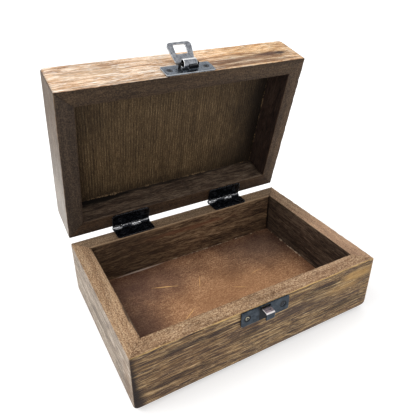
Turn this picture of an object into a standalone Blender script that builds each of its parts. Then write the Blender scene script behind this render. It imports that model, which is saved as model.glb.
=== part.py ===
"""Hinged wooden keepsake box with surface butt hinges and a hasp latch.

Frame: the origin is the centre of the underside, the front faces -Y and +Z is up. The lid stands open.
"""

import math

import bmesh
import bpy
from mathutils import Matrix, Vector

MM = 0.001

# Outer size of the box and of its boards
WIDTH = 152.0 * MM
DEPTH = 100.0 * MM
BASE_HEIGHT = 38.0 * MM
LID_HEIGHT = 29.5 * MM
WALL = 9.8 * MM
FLOOR_THICKNESS = 9.8 * MM
TOP_THICKNESS = 11.0 * MM
EDGE_RADIUS = 4.8 * MM
EDGE_SEGMENTS = 6
WOOD_GAP = 0.3 * MM
METAL_GAP = 0.15 * MM

# Lid hinge line: behind the back face, midway between the two rims
RIM_GAP = 2.2 * MM
AXIS_BEHIND = 1.5 * MM
LID_OPEN_DEG = 76.0
AXIS_Y = DEPTH / 2 + AXIS_BEHIND
AXIS_Z = BASE_HEIGHT + RIM_GAP / 2

# Butt hinges
HINGE_CENTRES_X = {"left": -36.0 * MM, "right": 33.8 * MM}
HINGE_LENGTH = 25.0 * MM
LEAF_THICKNESS = 0.8 * MM
LEAF_REACH = 9.4 * MM
LEAF_CORNER = 2.2 * MM
LEAF_BACK_STOP = 0.2 * MM
KNUCKLE_COUNT = 4
KNUCKLE_RADIUS = 1.4 * MM
KNUCKLE_BORE = 0.72 * MM
KNUCKLE_END_GAP = 0.2 * MM
KNUCKLE_TAB = 0.6 * MM
PIN_RADIUS = 0.65 * MM
PIN_EXTRA = 0.4 * MM
LEAF_NAIL_SPREAD = 7.8 * MM
LEAF_NAIL_INSET = 5.0 * MM

# Countersunk nails
NAIL_HEAD_RADIUS = 1.05 * MM
NAIL_HEAD_DEPTH = 0.55 * MM
NAIL_SHANK_RADIUS = 0.5 * MM
NAIL_LENGTH = 7.0 * MM
NAIL_POINT = 1.2 * MM
NAIL_CLEARANCE = 0.12 * MM
NAIL_STEPS = 16

# Latch plates, both flush with the rim they hang from
LATCH_X = -2.1 * MM
PLATE_THICKNESS = 0.8 * MM
PLATE_WIDTH = 30.0 * MM
PLATE_CORNER = 1.2 * MM
HASP_PLATE_HEIGHT = 10.0 * MM
CATCH_PLATE_HEIGHT = 9.4 * MM
PLATE_NAIL_SPREAD = 11.2 * MM
PLATE_FACE_Y = -(DEPTH / 2 + METAL_GAP + PLATE_THICKNESS)

# Hasp: a strap with a window, rolled into an open barrel at its hinged end
BARREL_RADIUS = 2.5 * MM
BARREL_WALL = 0.8 * MM
BARREL_LENGTH = 8.0 * MM
BARREL_X = -1.6 * MM
BARREL_GAP = 0.25 * MM
HASP_AXIS_UP = 5.6 * MM
HASP_AXIS_Y = PLATE_FACE_Y - BARREL_GAP - BARREL_RADIUS
HASP_OPEN_DEG = 147.0
STRAP_X = -2.5 * MM
STRAP_THICKNESS = 0.8 * MM
STRAP_LENGTH = 14.3 * MM
STRAP_TIP_HALF = 7.7 * MM
STRAP_SHOULDER_HALF = 5.8 * MM
STRAP_SHOULDER_DROP = 0.9 * MM
STRAP_CORNER = 2.4 * MM
STRAP_SHOULDER_CORNER = 0.5 * MM
WINDOW_WIDTH = 6.8 * MM
WINDOW_NEAR = 6.9 * MM
WINDOW_FAR = 12.7 * MM

# Staple that carries the barrel, driven through the hasp plate into the lid
STAPLE_RADIUS = 0.8 * MM
STAPLE_HALF = 5.5 * MM
STAPLE_BEND = 0.9 * MM
STAPLE_DEPTH = 6.0 * MM
STAPLE_CLEARANCE = 0.2 * MM
CRADLE_LENGTH = 5.0 * MM
CRADLE_X = 0.1 * MM
CRADLE_CLEARANCE = 0.3 * MM
CRADLE_THICKNESS = 0.7 * MM

# Catch: a tongue bent out of the catch plate and turned down, with a slot left above its root
TONGUE_X = -2.3 * MM
TONGUE_WIDTH = 5.4 * MM
TONGUE_THICKNESS = 0.9 * MM
TONGUE_TOP = 1.7 * MM
TONGUE_BOTTOM = 6.2 * MM
TONGUE_FRONT_Y = -(DEPTH / 2 + 5.5 * MM)
TONGUE_BEND = 1.3 * MM
SLOT_MARGIN = 0.3 * MM
SLOT_BRIDGE = 0.6 * MM

ROUND_SEGMENTS = 24
ARC_STEPS = 6
WIRE_RESOLUTION = 2
SMOOTH_ANGLE = math.radians(35.0)
WELD_DISTANCE = 0.001 * MM

# Finishes: base colour, roughness, metallic
WOOD_FINISHES = {"base": ((0.2, 0.12, 0.055), 0.7, 0.0), "lid": ((0.24, 0.14, 0.07), 0.7, 0.0)}
FLOOR_FINISH = ((0.2, 0.1, 0.055), 0.75, 0.0)
TOP_FINISH = ((0.1, 0.06, 0.03), 0.75, 0.0)
HINGE_FINISH = ((0.015, 0.015, 0.02), 0.4, 0.6)
CATCH_FINISH = ((0.03, 0.035, 0.045), 0.45, 0.6)
PLATE_FINISH = ((0.12, 0.13, 0.14), 0.4, 0.8)
HASP_FINISH = ((0.3, 0.3, 0.32), 0.35, 1.0)
NAIL_FINISH = ((0.05, 0.05, 0.055), 0.4, 1.0)


def clear_scene():
    for old in list(bpy.data.objects):
        bpy.data.objects.remove(old, do_unlink=True)


def new_collection(name):
    collection = bpy.data.collections.new(name)
    bpy.context.scene.collection.children.link(collection)
    return collection


def make_material(name, finish):
    colour, roughness, metallic = finish
    material = bpy.data.materials.new(name)
    material.use_nodes = True
    shader = material.node_tree.nodes["Principled BSDF"]
    shader.inputs["Base Color"].default_value = (*colour, 1.0)
    shader.inputs["Roughness"].default_value = roughness
    shader.inputs["Metallic"].default_value = metallic
    return material


def make_empty(name, location, turn_x, parent=None):
    """An empty on a joint's axis; positive joint values turn about -X."""
    empty = bpy.data.objects.new(name, None)
    empty.location = location
    empty.rotation_euler = (-math.radians(turn_x), 0.0, 0.0)
    empty.parent = parent
    parts.objects.link(empty)
    return empty


def add_object(name, mesh, collection, parent=None, matrix=None):
    obj = bpy.data.objects.new(name, mesh)
    collection.objects.link(obj)
    obj.parent = parent
    obj.matrix_local = matrix if matrix is not None else Matrix.Identity(4)
    return obj


def finish_part(obj, finish, smooth=False):
    obj.data.materials.clear()
    obj.data.materials.append(make_material(f"{obj.name}_finish", finish))
    if smooth:
        obj.data.shade_smooth()
        obj.data.set_sharp_from_angle(angle=SMOOTH_ANGLE)
    return obj


def box_mesh(name, low, high):
    """A cube primitive stretched between two corners."""
    bm = bmesh.new()
    bmesh.ops.create_cube(bm, size=1.0)
    low = Vector(low)
    high = Vector(high)
    size = high - low
    bmesh.ops.scale(bm, vec=size, verts=bm.verts)
    bmesh.ops.translate(bm, vec=(low + high) / 2, verts=bm.verts)
    mesh = bpy.data.meshes.new(name)
    bm.to_mesh(mesh)
    bm.free()
    return mesh


def cylinder_mesh(name, radius, low_x, high_x, centre=(0.0, 0.0)):
    """A cylinder primitive along X between two stations."""
    bm = bmesh.new()
    bmesh.ops.create_cone(
        bm,
        cap_ends=True,
        segments=ROUND_SEGMENTS,
        radius1=radius,
        radius2=radius,
        depth=high_x - low_x,
    )
    bmesh.ops.rotate(bm, matrix=Matrix.Rotation(math.pi / 2, 3, "Y"), verts=bm.verts)
    middle = ((low_x + high_x) / 2, centre[0], centre[1])
    bmesh.ops.translate(bm, vec=middle, verts=bm.verts)
    mesh = bpy.data.meshes.new(name)
    bm.to_mesh(mesh)
    bm.free()
    return mesh


def mesh_from(source):
    """Replaces a curve or a modified object by its evaluated mesh, with loose caps welded."""
    bpy.context.view_layer.update()
    evaluated = source.evaluated_get(bpy.context.evaluated_depsgraph_get())
    mesh = bpy.data.meshes.new_from_object(evaluated)
    mesh.name = source.name
    bm = bmesh.new()
    bm.from_mesh(mesh)
    bmesh.ops.remove_doubles(bm, verts=bm.verts, dist=WELD_DISTANCE)
    bmesh.ops.recalc_face_normals(bm, faces=bm.faces)
    bm.to_mesh(mesh)
    bm.free()
    bpy.data.objects.remove(source, do_unlink=True)
    return mesh


def outline_mesh(name, outline, thickness):
    """A closed outline in the XY plane, filled and extruded evenly about that plane."""
    curve = bpy.data.curves.new(name, "CURVE")
    curve.dimensions = "2D"
    curve.fill_mode = "BOTH"
    curve.extrude = thickness / 2
    spline = curve.splines.new("POLY")
    spline.points.add(len(outline) - 1)
    for point, (x, y) in zip(spline.points, outline):
        point.co = (x, y, 0.0, 1.0)
    spline.use_cyclic_u = True
    obj = bpy.data.objects.new(name, curve)
    parts.objects.link(obj)
    return mesh_from(obj)


def rounded(corners):
    """Corner points (x, y, radius) turned into an outline with an arc at each corner."""
    outline = []
    for i, (x, y, radius) in enumerate(corners):
        here = Vector((x, y))
        before = (Vector(corners[i - 1][:2]) - here).normalized()
        after = (Vector(corners[(i + 1) % len(corners)][:2]) - here).normalized()
        if radius <= 0.0:
            outline.append((x, y))
            continue
        half = before.angle(after) / 2
        start = here + before * (radius / math.tan(half))
        centre = here + (before + after).normalized() * (radius / math.sin(half))
        arm = start - centre
        sweep = math.pi - 2 * half
        if before.cross(after) > 0.0:
            sweep = -sweep
        for step in range(ARC_STEPS + 1):
            angle = sweep * step / ARC_STEPS
            turned = Matrix.Rotation(angle, 2) @ arm
            outline.append(tuple(centre + turned))
    return outline


def turned_mesh(name, profile):
    """A profile of (radius, height) points, from top to bottom, turned about Z."""
    mesh = bpy.data.meshes.new(name)
    points = [(radius, 0.0, height) for radius, height in profile]
    mesh.from_pydata(points, [(i, i + 1) for i in range(len(points) - 1)], [])
    obj = bpy.data.objects.new(name, mesh)
    parts.objects.link(obj)
    screw = obj.modifiers.new("Screw", "SCREW")
    screw.steps = NAIL_STEPS
    screw.render_steps = NAIL_STEPS
    screw.use_merge_vertices = True
    screw.merge_threshold = WELD_DISTANCE
    return mesh_from(obj)


def combine(target, tool, operation):
    modifier = target.modifiers.new(operation.title(), "BOOLEAN")
    modifier.operation = operation
    modifier.solver = "EXACT"
    modifier.object = tool
    tool.hide_render = True
    tool.display_type = "WIRE"


def tool_object(name, mesh, parent, matrix=None):
    return add_object(name, mesh, cutters, parent, matrix)


# Wood


def board_mesh(name, length, height, rounded_top):
    """A mitred board along X, its outer face at y = 0, its inner face at y = WALL, standing on z = 0."""
    bm = bmesh.new()
    bmesh.ops.create_cube(bm, size=1.0)
    bmesh.ops.scale(bm, vec=(length, WALL, height), verts=bm.verts)
    bmesh.ops.translate(bm, vec=(0.0, WALL / 2, height / 2), verts=bm.verts)
    edge_z = height if rounded_top else 0.0
    long_edges = [
        edge
        for edge in bm.edges
        if all(abs(v.co.y) < WELD_DISTANCE and abs(v.co.z - edge_z) < WELD_DISTANCE for v in edge.verts)
    ]
    bmesh.ops.bevel(
        bm,
        geom=long_edges,
        offset=EDGE_RADIUS,
        segments=EDGE_SEGMENTS,
        profile=0.5,
        affect="EDGES",
    )
    for side in (-1.0, 1.0):
        mitre = Vector((side, 1.0, 0.0)).normalized()
        corner = Vector((side * length / 2, 0.0, 0.0))
        whole = list(bm.verts) + list(bm.edges) + list(bm.faces)
        bmesh.ops.bisect_plane(
            bm,
            geom=whole,
            plane_co=corner - mitre * (WOOD_GAP / 2),
            plane_no=mitre,
            clear_outer=True,
        )
        bmesh.ops.holes_fill(bm, edges=[e for e in bm.edges if e.is_boundary])
    bmesh.ops.recalc_face_normals(bm, faces=bm.faces)
    mesh = bpy.data.meshes.new(name)
    bm.to_mesh(mesh)
    bm.free()
    return mesh


def build_frame(prefix, height, bottom_z, rounded_top, parent, shift):
    """The four mitred walls of the base or of the lid."""
    sides = {
        "front": (WIDTH, 0.0, DEPTH / 2),
        "right": (DEPTH, 90.0, WIDTH / 2),
        "back": (WIDTH, 180.0, DEPTH / 2),
        "left": (DEPTH, 270.0, WIDTH / 2),
    }
    boards = {}
    for side, (length, turn, reach) in sides.items():
        name = f"{prefix}_{side}_board"
        mesh = board_mesh(name, length, height, rounded_top)
        rotation = Matrix.Rotation(math.radians(turn), 4, "Z")
        place = Matrix.Translation(Vector((0.0, 0.0, bottom_z)) - shift)
        slide = Matrix.Translation((0.0, -reach, 0.0))
        board = add_object(name, mesh, parts, parent, place @ rotation @ slide)
        boards[side] = finish_part(board, WOOD_FINISHES[prefix])
    return boards


def build_panel(name, low_z, thickness, parent, shift, finish):
    """The flat board that closes a frame, set between its four walls."""
    half_x = WIDTH / 2 - WALL - WOOD_GAP
    half_y = DEPTH / 2 - WALL - WOOD_GAP
    mesh = box_mesh(name, (-half_x, -half_y, low_z), (half_x, half_y, low_z + thickness))
    panel = add_object(name, mesh, parts, parent, Matrix.Translation(-shift))
    return finish_part(panel, finish)


# Nails


def nail_profile(extra):
    """Countersunk head, shank and point, from the axis at the head down to the axis at the point."""
    return [
        (0.0, extra),
        (NAIL_HEAD_RADIUS + extra, extra),
        (NAIL_HEAD_RADIUS + extra, -extra),
        (NAIL_SHANK_RADIUS + extra, -NAIL_HEAD_DEPTH - extra),
        (NAIL_SHANK_RADIUS + extra, NAIL_POINT - NAIL_LENGTH - extra),
        (0.0, -NAIL_LENGTH - extra * 2),
    ]


def drive_nail(name, place, parent, holed):
    """A nail whose head is at the origin of `place` and whose shank runs along -Z, and its holes."""
    nail = add_object(name, turned_mesh(name, nail_profile(0.0)), parts, parent, place)
    finish_part(nail, NAIL_FINISH, smooth=True)
    hole = turned_mesh(f"{name}_hole", nail_profile(NAIL_CLEARANCE))
    cutter = tool_object(f"{name}_hole", hole, parent, place)
    for target in holed:
        combine(target, cutter, "DIFFERENCE")
    return nail


# Hinges


def leaf_outline(centre_x, own_knuckles):
    """Leaf seen from above the base rim: x along the hinge, y from the free edge to the knuckles."""
    low_x = centre_x - HINGE_LENGTH / 2
    step = HINGE_LENGTH / KNUCKLE_COUNT
    free_y = DEPTH / 2 - LEAF_REACH
    stop_y = DEPTH / 2 - LEAF_BACK_STOP
    tab_y = DEPTH / 2 + KNUCKLE_TAB
    corners = [
        (low_x, free_y, LEAF_CORNER),
        (low_x + HINGE_LENGTH, free_y, LEAF_CORNER),
    ]
    for i in reversed(range(KNUCKLE_COUNT)):
        reach = tab_y if i in own_knuckles else stop_y
        inset = KNUCKLE_END_GAP / 2 if i in own_knuckles else -KNUCKLE_END_GAP / 2
        high = min(low_x + (i + 1) * step - inset, low_x + HINGE_LENGTH)
        low = max(low_x + i * step + inset, low_x)
        corners.append((high, reach, 0.0))
        corners.append((low, reach, 0.0))
    return rounded(corners)


def build_leaf(name, centre_x, own_knuckles, up, parent, shift):
    """One leaf with its knuckles; up is -1 for the leaf under the hinge line and 1 for the one over it."""
    middle_z = AXIS_Z + up * (RIM_GAP / 2 - METAL_GAP - LEAF_THICKNESS / 2)
    flat = outline_mesh(name, leaf_outline(centre_x, own_knuckles), LEAF_THICKNESS)
    flat.transform(Matrix.Translation((0.0, 0.0, middle_z)))
    place = Matrix.Translation(-shift)
    leaf = add_object(name, flat, parts, parent, place)
    low_x = centre_x - HINGE_LENGTH / 2
    step = HINGE_LENGTH / KNUCKLE_COUNT
    for i in own_knuckles:
        start = low_x + i * step + KNUCKLE_END_GAP / 2
        end = low_x + (i + 1) * step - KNUCKLE_END_GAP / 2
        knuckle = f"{name}_knuckle_{i + 1}"
        mesh = cylinder_mesh(knuckle, KNUCKLE_RADIUS, start, end, (AXIS_Y, AXIS_Z))
        combine(leaf, tool_object(knuckle, mesh, parent, place), "UNION")
    bore = cylinder_mesh(
        f"{name}_bore",
        KNUCKLE_BORE,
        low_x - PIN_EXTRA,
        low_x + HINGE_LENGTH + PIN_EXTRA,
        (AXIS_Y, AXIS_Z),
    )
    combine(leaf, tool_object(f"{name}_bore", bore, parent, place), "DIFFERENCE")
    return leaf


def build_hinge(side, centre_x, base_boards, lid_boards, lid_pivot, shift):
    base_leaf = build_leaf(f"{side}_hinge_base_leaf", centre_x, (0, 2), -1.0, None, Vector())
    lid_leaf = build_leaf(f"{side}_hinge_lid_leaf", centre_x, (1, 3), 1.0, lid_pivot, shift)
    half = HINGE_LENGTH / 2 + PIN_EXTRA / 2
    pin_name = f"{side}_hinge_pin"
    pin = add_object(
        pin_name,
        cylinder_mesh(pin_name, PIN_RADIUS, -half, half),
        parts,
        None,
        Matrix.Translation((centre_x, AXIS_Y, AXIS_Z)),
    )
    finish_part(pin, NAIL_FINISH, smooth=True)
    nail_y = DEPTH / 2 - LEAF_NAIL_INSET
    base_top = BASE_HEIGHT + METAL_GAP + LEAF_THICKNESS
    lid_under = BASE_HEIGHT + RIM_GAP - METAL_GAP - LEAF_THICKNESS
    flip = Matrix.Rotation(math.pi, 4, "X")
    for i, offset in enumerate((-LEAF_NAIL_SPREAD, LEAF_NAIL_SPREAD)):
        x = centre_x + offset
        down = Matrix.Translation((x, nail_y, base_top))
        drive_nail(f"{side}_hinge_base_nail_{i + 1}", down, None, (base_leaf, base_boards["back"]))
        up = Matrix.Translation(Vector((x, nail_y, lid_under)) - shift) @ flip
        drive_nail(f"{side}_hinge_lid_nail_{i + 1}", up, lid_pivot, (lid_leaf, lid_boards["back"]))
    for leaf in (base_leaf, lid_leaf):
        finish_part(leaf, HINGE_FINISH, smooth=True)


# Latch


def plate_mesh(name, height, low_z):
    """A latch plate on the front face, rounded at its corners."""
    half = PLATE_WIDTH / 2
    corners = [
        (LATCH_X - half, low_z, PLATE_CORNER),
        (LATCH_X + half, low_z, PLATE_CORNER),
        (LATCH_X + half, low_z + height, PLATE_CORNER),
        (LATCH_X - half, low_z + height, PLATE_CORNER),
    ]
    mesh = outline_mesh(name, rounded(corners), PLATE_THICKNESS)
    mesh.transform(Matrix.Rotation(math.pi / 2, 4, "X"))
    mesh.transform(Matrix.Translation((0.0, PLATE_FACE_Y + PLATE_THICKNESS / 2, 0.0)))
    return mesh


def profile_along_x(name, corners, centre_x, length):
    """A closed outline of (y, z, radius) corners drawn out along X."""
    mesh = outline_mesh(name, rounded(corners), length)
    turn = Matrix(((0.0, 0.0, 1.0), (1.0, 0.0, 0.0), (0.0, 1.0, 0.0))).to_4x4()
    mesh.transform(Matrix.Translation((centre_x, 0.0, 0.0)) @ turn)
    return mesh


def nail_plate(prefix, plate, board, middle_z, parent, shift):
    quarter = Matrix.Rotation(math.pi / 2, 4, "X")
    for i, offset in enumerate((-PLATE_NAIL_SPREAD, PLATE_NAIL_SPREAD)):
        spot = Vector((LATCH_X + offset, PLATE_FACE_Y, middle_z)) - shift
        place = Matrix.Translation(spot) @ quarter
        drive_nail(f"{prefix}_nail_{i + 1}", place, parent, (plate, board))


def build_catch(board):
    """The catch plate on the base, its tongue bent forward and down under a slot in the plate."""
    low_z = BASE_HEIGHT - CATCH_PLATE_HEIGHT
    plate = add_object("catch_plate", plate_mesh("catch_plate", CATCH_PLATE_HEIGHT, low_z), parts)
    half = TONGUE_WIDTH / 2
    top = BASE_HEIGHT - TONGUE_TOP
    slot = box_mesh(
        "catch_slot",
        (TONGUE_X - half - SLOT_MARGIN, PLATE_FACE_Y - MM, top),
        (TONGUE_X + half + SLOT_MARGIN, -DEPTH / 2, BASE_HEIGHT - SLOT_BRIDGE),
    )
    combine(plate, tool_object("catch_slot", slot, None), "DIFFERENCE")
    root_y = PLATE_FACE_Y + PLATE_THICKNESS / 2
    under = top - TONGUE_THICKNESS
    inner_y = TONGUE_FRONT_Y + TONGUE_THICKNESS
    inner_bend = TONGUE_BEND - TONGUE_THICKNESS
    corners = [
        (root_y, top, 0.0),
        (root_y, under, 0.0),
        (inner_y, under, inner_bend),
        (inner_y, BASE_HEIGHT - TONGUE_BOTTOM, 0.0),
        (TONGUE_FRONT_Y, BASE_HEIGHT - TONGUE_BOTTOM, 0.0),
        (TONGUE_FRONT_Y, top, TONGUE_BEND),
    ]
    tongue = profile_along_x("catch_tongue", corners, TONGUE_X, TONGUE_WIDTH)
    combine(plate, tool_object("catch_tongue", tongue, None), "UNION")
    nail_plate("catch", plate, board, low_z + CATCH_PLATE_HEIGHT / 2, None, Vector())
    finish_part(plate, CATCH_FINISH, smooth=True)


def staple_mesh(name):
    """Round wire bent to a U: the bar lies on the hasp's axis and both legs run back into the lid."""
    end_y = STAPLE_DEPTH - DEPTH / 2 - HASP_AXIS_Y
    path = rounded(
        [
            (-STAPLE_HALF, end_y, 0.0),
            (-STAPLE_HALF, 0.0, STAPLE_BEND),
            (STAPLE_HALF, 0.0, STAPLE_BEND),
            (STAPLE_HALF, end_y, 0.0),
        ]
    )
    curve = bpy.data.curves.new(name, "CURVE")
    curve.dimensions = "3D"
    curve.bevel_depth = STAPLE_RADIUS
    curve.bevel_resolution = WIRE_RESOLUTION
    curve.use_fill_caps = True
    spline = curve.splines.new("POLY")
    spline.points.add(len(path) - 1)
    for point, (x, y) in zip(spline.points, path):
        point.co = (x, y, 0.0, 1.0)
    obj = bpy.data.objects.new(name, curve)
    parts.objects.link(obj)
    return mesh_from(obj)


def staple_hole_mesh(name, x, axis_z):
    """A square-ended round hole for one leg, from in front of the plate to past the leg's end."""
    radius = STAPLE_RADIUS + STAPLE_CLEARANCE
    start = PLATE_FACE_Y - MM
    end = STAPLE_DEPTH - DEPTH / 2 + WOOD_GAP
    mesh = cylinder_mesh(name, radius, start, end)
    mesh.transform(Matrix.Rotation(math.pi / 2, 4, "Z"))
    mesh.transform(Matrix.Translation((x, 0.0, axis_z)))
    return mesh


def quarter_lip(inner, outer, axis_z):
    """Section of the curled lip: a quarter ring from straight below the hasp's axis round to the plate."""
    arc = [math.radians(90.0 * (step / ARC_STEPS - 1.0)) for step in range(ARC_STEPS + 1)]
    ring = [(outer, angle) for angle in arc] + [(inner, angle) for angle in reversed(arc)]
    return [(HASP_AXIS_Y + r * math.cos(a), axis_z + r * math.sin(a), 0.0) for r, a in ring]


def build_hasp_plate(board, lid_pivot, shift):
    """The lid's latch plate, with the staple that the hasp turns on and the curled lip under its barrel."""
    low_z = BASE_HEIGHT + RIM_GAP
    axis_z = low_z + HASP_AXIS_UP
    place = Matrix.Translation(-shift)
    mesh = plate_mesh("hasp_plate", HASP_PLATE_HEIGHT, low_z)
    plate = add_object("hasp_plate", mesh, parts, lid_pivot, place)
    inner = BARREL_RADIUS + CRADLE_CLEARANCE
    outer = inner + CRADLE_THICKNESS
    lip = quarter_lip(inner, outer, axis_z)
    lip_mesh = profile_along_x("hasp_plate_lip", lip, CRADLE_X, CRADLE_LENGTH)
    lip_cut = box_mesh(
        "hasp_plate_lip_trim",
        (CRADLE_X - CRADLE_LENGTH, PLATE_FACE_Y + PLATE_THICKNESS, low_z),
        (CRADLE_X + CRADLE_LENGTH, 0.0, low_z + HASP_PLATE_HEIGHT),
    )
    combine(plate, tool_object("hasp_plate_lip", lip_mesh, lid_pivot, place), "UNION")
    combine(plate, tool_object("hasp_plate_lip_trim", lip_cut, lid_pivot, place), "DIFFERENCE")
    for i, offset in enumerate((-STAPLE_HALF, STAPLE_HALF)):
        name = f"staple_hole_{i + 1}"
        hole = staple_hole_mesh(name, BARREL_X + offset, axis_z)
        cutter = tool_object(name, hole, lid_pivot, place)
        combine(plate, cutter, "DIFFERENCE")
        combine(board, cutter, "DIFFERENCE")
    axis = Vector((BARREL_X, HASP_AXIS_Y, axis_z)) - shift
    staple = add_object(
        "hasp_staple", staple_mesh("hasp_staple"), parts, lid_pivot, Matrix.Translation(axis)
    )
    finish_part(staple, NAIL_FINISH, smooth=True)
    nail_plate("hasp_plate", plate, board, low_z + HASP_PLATE_HEIGHT / 2, lid_pivot, shift)
    finish_part(plate, PLATE_FINISH, smooth=True)


def strap_outline():
    """Strap seen from the front while it hangs: x across, y up, with the hinge line at y = 0."""
    neck = BARREL_LENGTH / 2
    offset = STRAP_X - BARREL_X
    shoulder = -STRAP_SHOULDER_DROP
    return rounded(
        [
            (-neck, 0.0, 0.0),
            (-neck, shoulder, 0.0),
            (offset - STRAP_SHOULDER_HALF, shoulder, STRAP_SHOULDER_CORNER),
            (offset - STRAP_TIP_HALF, -STRAP_LENGTH, STRAP_CORNER),
            (offset + STRAP_TIP_HALF, -STRAP_LENGTH, STRAP_CORNER),
            (offset + STRAP_SHOULDER_HALF, shoulder, STRAP_SHOULDER_CORNER),
            (neck, shoulder, 0.0),
            (neck, 0.0, 0.0),
        ]
    )


def build_hasp(hasp_pivot):
    """The hasp, modelled hanging straight down from its hinge line at the pivot's origin."""
    flat = outline_mesh("hasp", strap_outline(), STRAP_THICKNESS)
    flat.transform(Matrix.Rotation(math.pi / 2, 4, "X"))
    strap_y = STRAP_THICKNESS / 2 - BARREL_RADIUS
    flat.transform(Matrix.Translation((0.0, strap_y, 0.0)))
    hasp = add_object("hasp", flat, parts, hasp_pivot)
    half = BARREL_LENGTH / 2
    barrel = cylinder_mesh("hasp_barrel", BARREL_RADIUS, -half, half)
    bore = cylinder_mesh("hasp_bore", BARREL_RADIUS - BARREL_WALL, -half - MM, half + MM)
    offset = STRAP_X - BARREL_X
    window = box_mesh(
        "hasp_window",
        (offset - WINDOW_WIDTH / 2, -BARREL_RADIUS - MM, -WINDOW_FAR),
        (offset + WINDOW_WIDTH / 2, MM, -WINDOW_NEAR),
    )
    combine(hasp, tool_object("hasp_barrel", barrel, hasp_pivot), "UNION")
    combine(hasp, tool_object("hasp_bore", bore, hasp_pivot), "DIFFERENCE")
    combine(hasp, tool_object("hasp_window", window, hasp_pivot), "DIFFERENCE")
    finish_part(hasp, HASP_FINISH, smooth=True)


clear_scene()
parts = new_collection("hinged_wooden_box")
cutters = new_collection("cutters")

lid_axis = Vector((0.0, AXIS_Y, AXIS_Z))
hasp_axis = Vector((BARREL_X, HASP_AXIS_Y, BASE_HEIGHT + RIM_GAP + HASP_AXIS_UP))
lid_pivot = make_empty("lid_axis", lid_axis, LID_OPEN_DEG)
hasp_pivot = make_empty("hasp_axis", hasp_axis - lid_axis, HASP_OPEN_DEG, lid_pivot)

base_boards = build_frame("base", BASE_HEIGHT, 0.0, False, None, Vector())
lid_boards = build_frame("lid", LID_HEIGHT, BASE_HEIGHT + RIM_GAP, True, lid_pivot, lid_axis)
build_panel("base_bottom_panel", 0.0, FLOOR_THICKNESS, None, Vector(), FLOOR_FINISH)
top_z = BASE_HEIGHT + RIM_GAP + LID_HEIGHT - TOP_THICKNESS
build_panel("lid_top_panel", top_z, TOP_THICKNESS, lid_pivot, lid_axis, TOP_FINISH)

for hinge_side, hinge_x in HINGE_CENTRES_X.items():
    build_hinge(hinge_side, hinge_x, base_boards, lid_boards, lid_pivot, lid_axis)
build_catch(base_boards["front"])
build_hasp_plate(lid_boards["front"], lid_pivot, lid_axis)
build_hasp(hasp_pivot)
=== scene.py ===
"""Hinged wooden keepsake box: the detailed visual model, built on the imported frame.

Meshes are worked out in millimetres, in the frame of the closed box, and stored in metres at rest.
"""

import math
from collections import namedtuple

import bmesh
import bpy
import numpy as np
from mathutils import Matrix, Vector, noise


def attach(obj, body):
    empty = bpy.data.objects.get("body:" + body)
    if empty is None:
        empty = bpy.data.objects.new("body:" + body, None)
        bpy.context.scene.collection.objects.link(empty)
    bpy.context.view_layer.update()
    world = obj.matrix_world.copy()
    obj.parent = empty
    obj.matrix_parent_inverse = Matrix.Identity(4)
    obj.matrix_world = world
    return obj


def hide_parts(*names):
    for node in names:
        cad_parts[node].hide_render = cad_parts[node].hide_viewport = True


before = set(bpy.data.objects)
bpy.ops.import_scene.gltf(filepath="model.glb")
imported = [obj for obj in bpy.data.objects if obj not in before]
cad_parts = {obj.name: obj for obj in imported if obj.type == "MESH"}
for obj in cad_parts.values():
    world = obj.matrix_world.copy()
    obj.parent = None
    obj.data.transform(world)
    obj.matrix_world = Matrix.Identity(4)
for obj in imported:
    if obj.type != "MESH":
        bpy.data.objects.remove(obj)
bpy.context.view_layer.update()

MM = 0.001

# Box, millimetres
WIDTH = 152.0
DEPTH = 100.0
BASE_HEIGHT = 38.0
LID_HEIGHT = 29.5
WALL = 9.8
FLOOR_THICKNESS = 9.8
TOP_THICKNESS = 11.0
RIM_GAP = 2.2
LID_BOTTOM = BASE_HEIGHT + RIM_GAP
LID_ROOF = LID_BOTTOM + LID_HEIGHT
LID_AXIS = Vector((0.0, 51.5, 39.1))
LID_OPEN_DEG = 76.0
PANEL_GAP = 0.1
PANEL_RECESS = 0.1

# Wall boards: edge radii, mitre lines and the stations of their grid
FOOT_RADIUS = 4.8
RIM_OUTER_RADIUS = 0.5
BACK_RIM_RADIUS = 0.06
RIM_INNER_RADIUS = 0.5
HIDDEN_RADIUS = 0.3
CORNER_RADIUS = 0.9
FOOT_CORNER_EXTRA = 2.6
MITRE_GAP = 0.04
MITRE_GROOVE = 0.16
EDGE_STEPS = (0.3, 0.8, 1.6, 2.8)
FACE_STEP = 1.5
END_STEPS = (0.0, 0.12, 0.35, 0.7, 1.2, 2.0, 3.2, 5.0)
RUBBED_REACH = 0.55

# Hinges, millimetres
HINGE_CENTRES = {"left": -36.0, "right": 33.8}
HINGE_LENGTH = 25.0
LEAF_THICKNESS = 0.8
LEAF_GAP = 0.15
LEAF_REACH = 9.4
LEAF_CORNER = 2.2
LEAF_BACK_STOP = 0.2
LEAF_VOXEL = 0.17
KNUCKLE_TAB = 0.6
KNUCKLE_COUNT = 4
KNUCKLE_RADIUS = 1.4
KNUCKLE_BORE = 0.72
KNUCKLE_END_GAP = 0.2
KNUCKLE_WRAP_DEG = 338.0
KNUCKLE_SEAM_DEG = 21.7
PIN_RADIUS = 0.65
PIN_HALF = 12.7
LEAF_NAIL_SPREAD = 7.8
LEAF_NAIL_INSET = 5.0
# Facing of the painted highlight on the base (-1) and lid (1) knuckles, where the key light glints; partly
# rubbed paint
KNUCKLE_HIGHLIGHT_DIRECTIONS = {-1.0: Vector((0.0, -0.72, 0.69)), 1.0: Vector((0.0, -0.3, 0.95))}
NAIL_HOLE_RADIUS = 1.17
NAIL_DISH_RADIUS = 1.9
LEAF_DISH_DEPTH = 0.12
LEAF_NAIL_SINK = 0.1
LEAF_EDGE = 0.35

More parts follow.
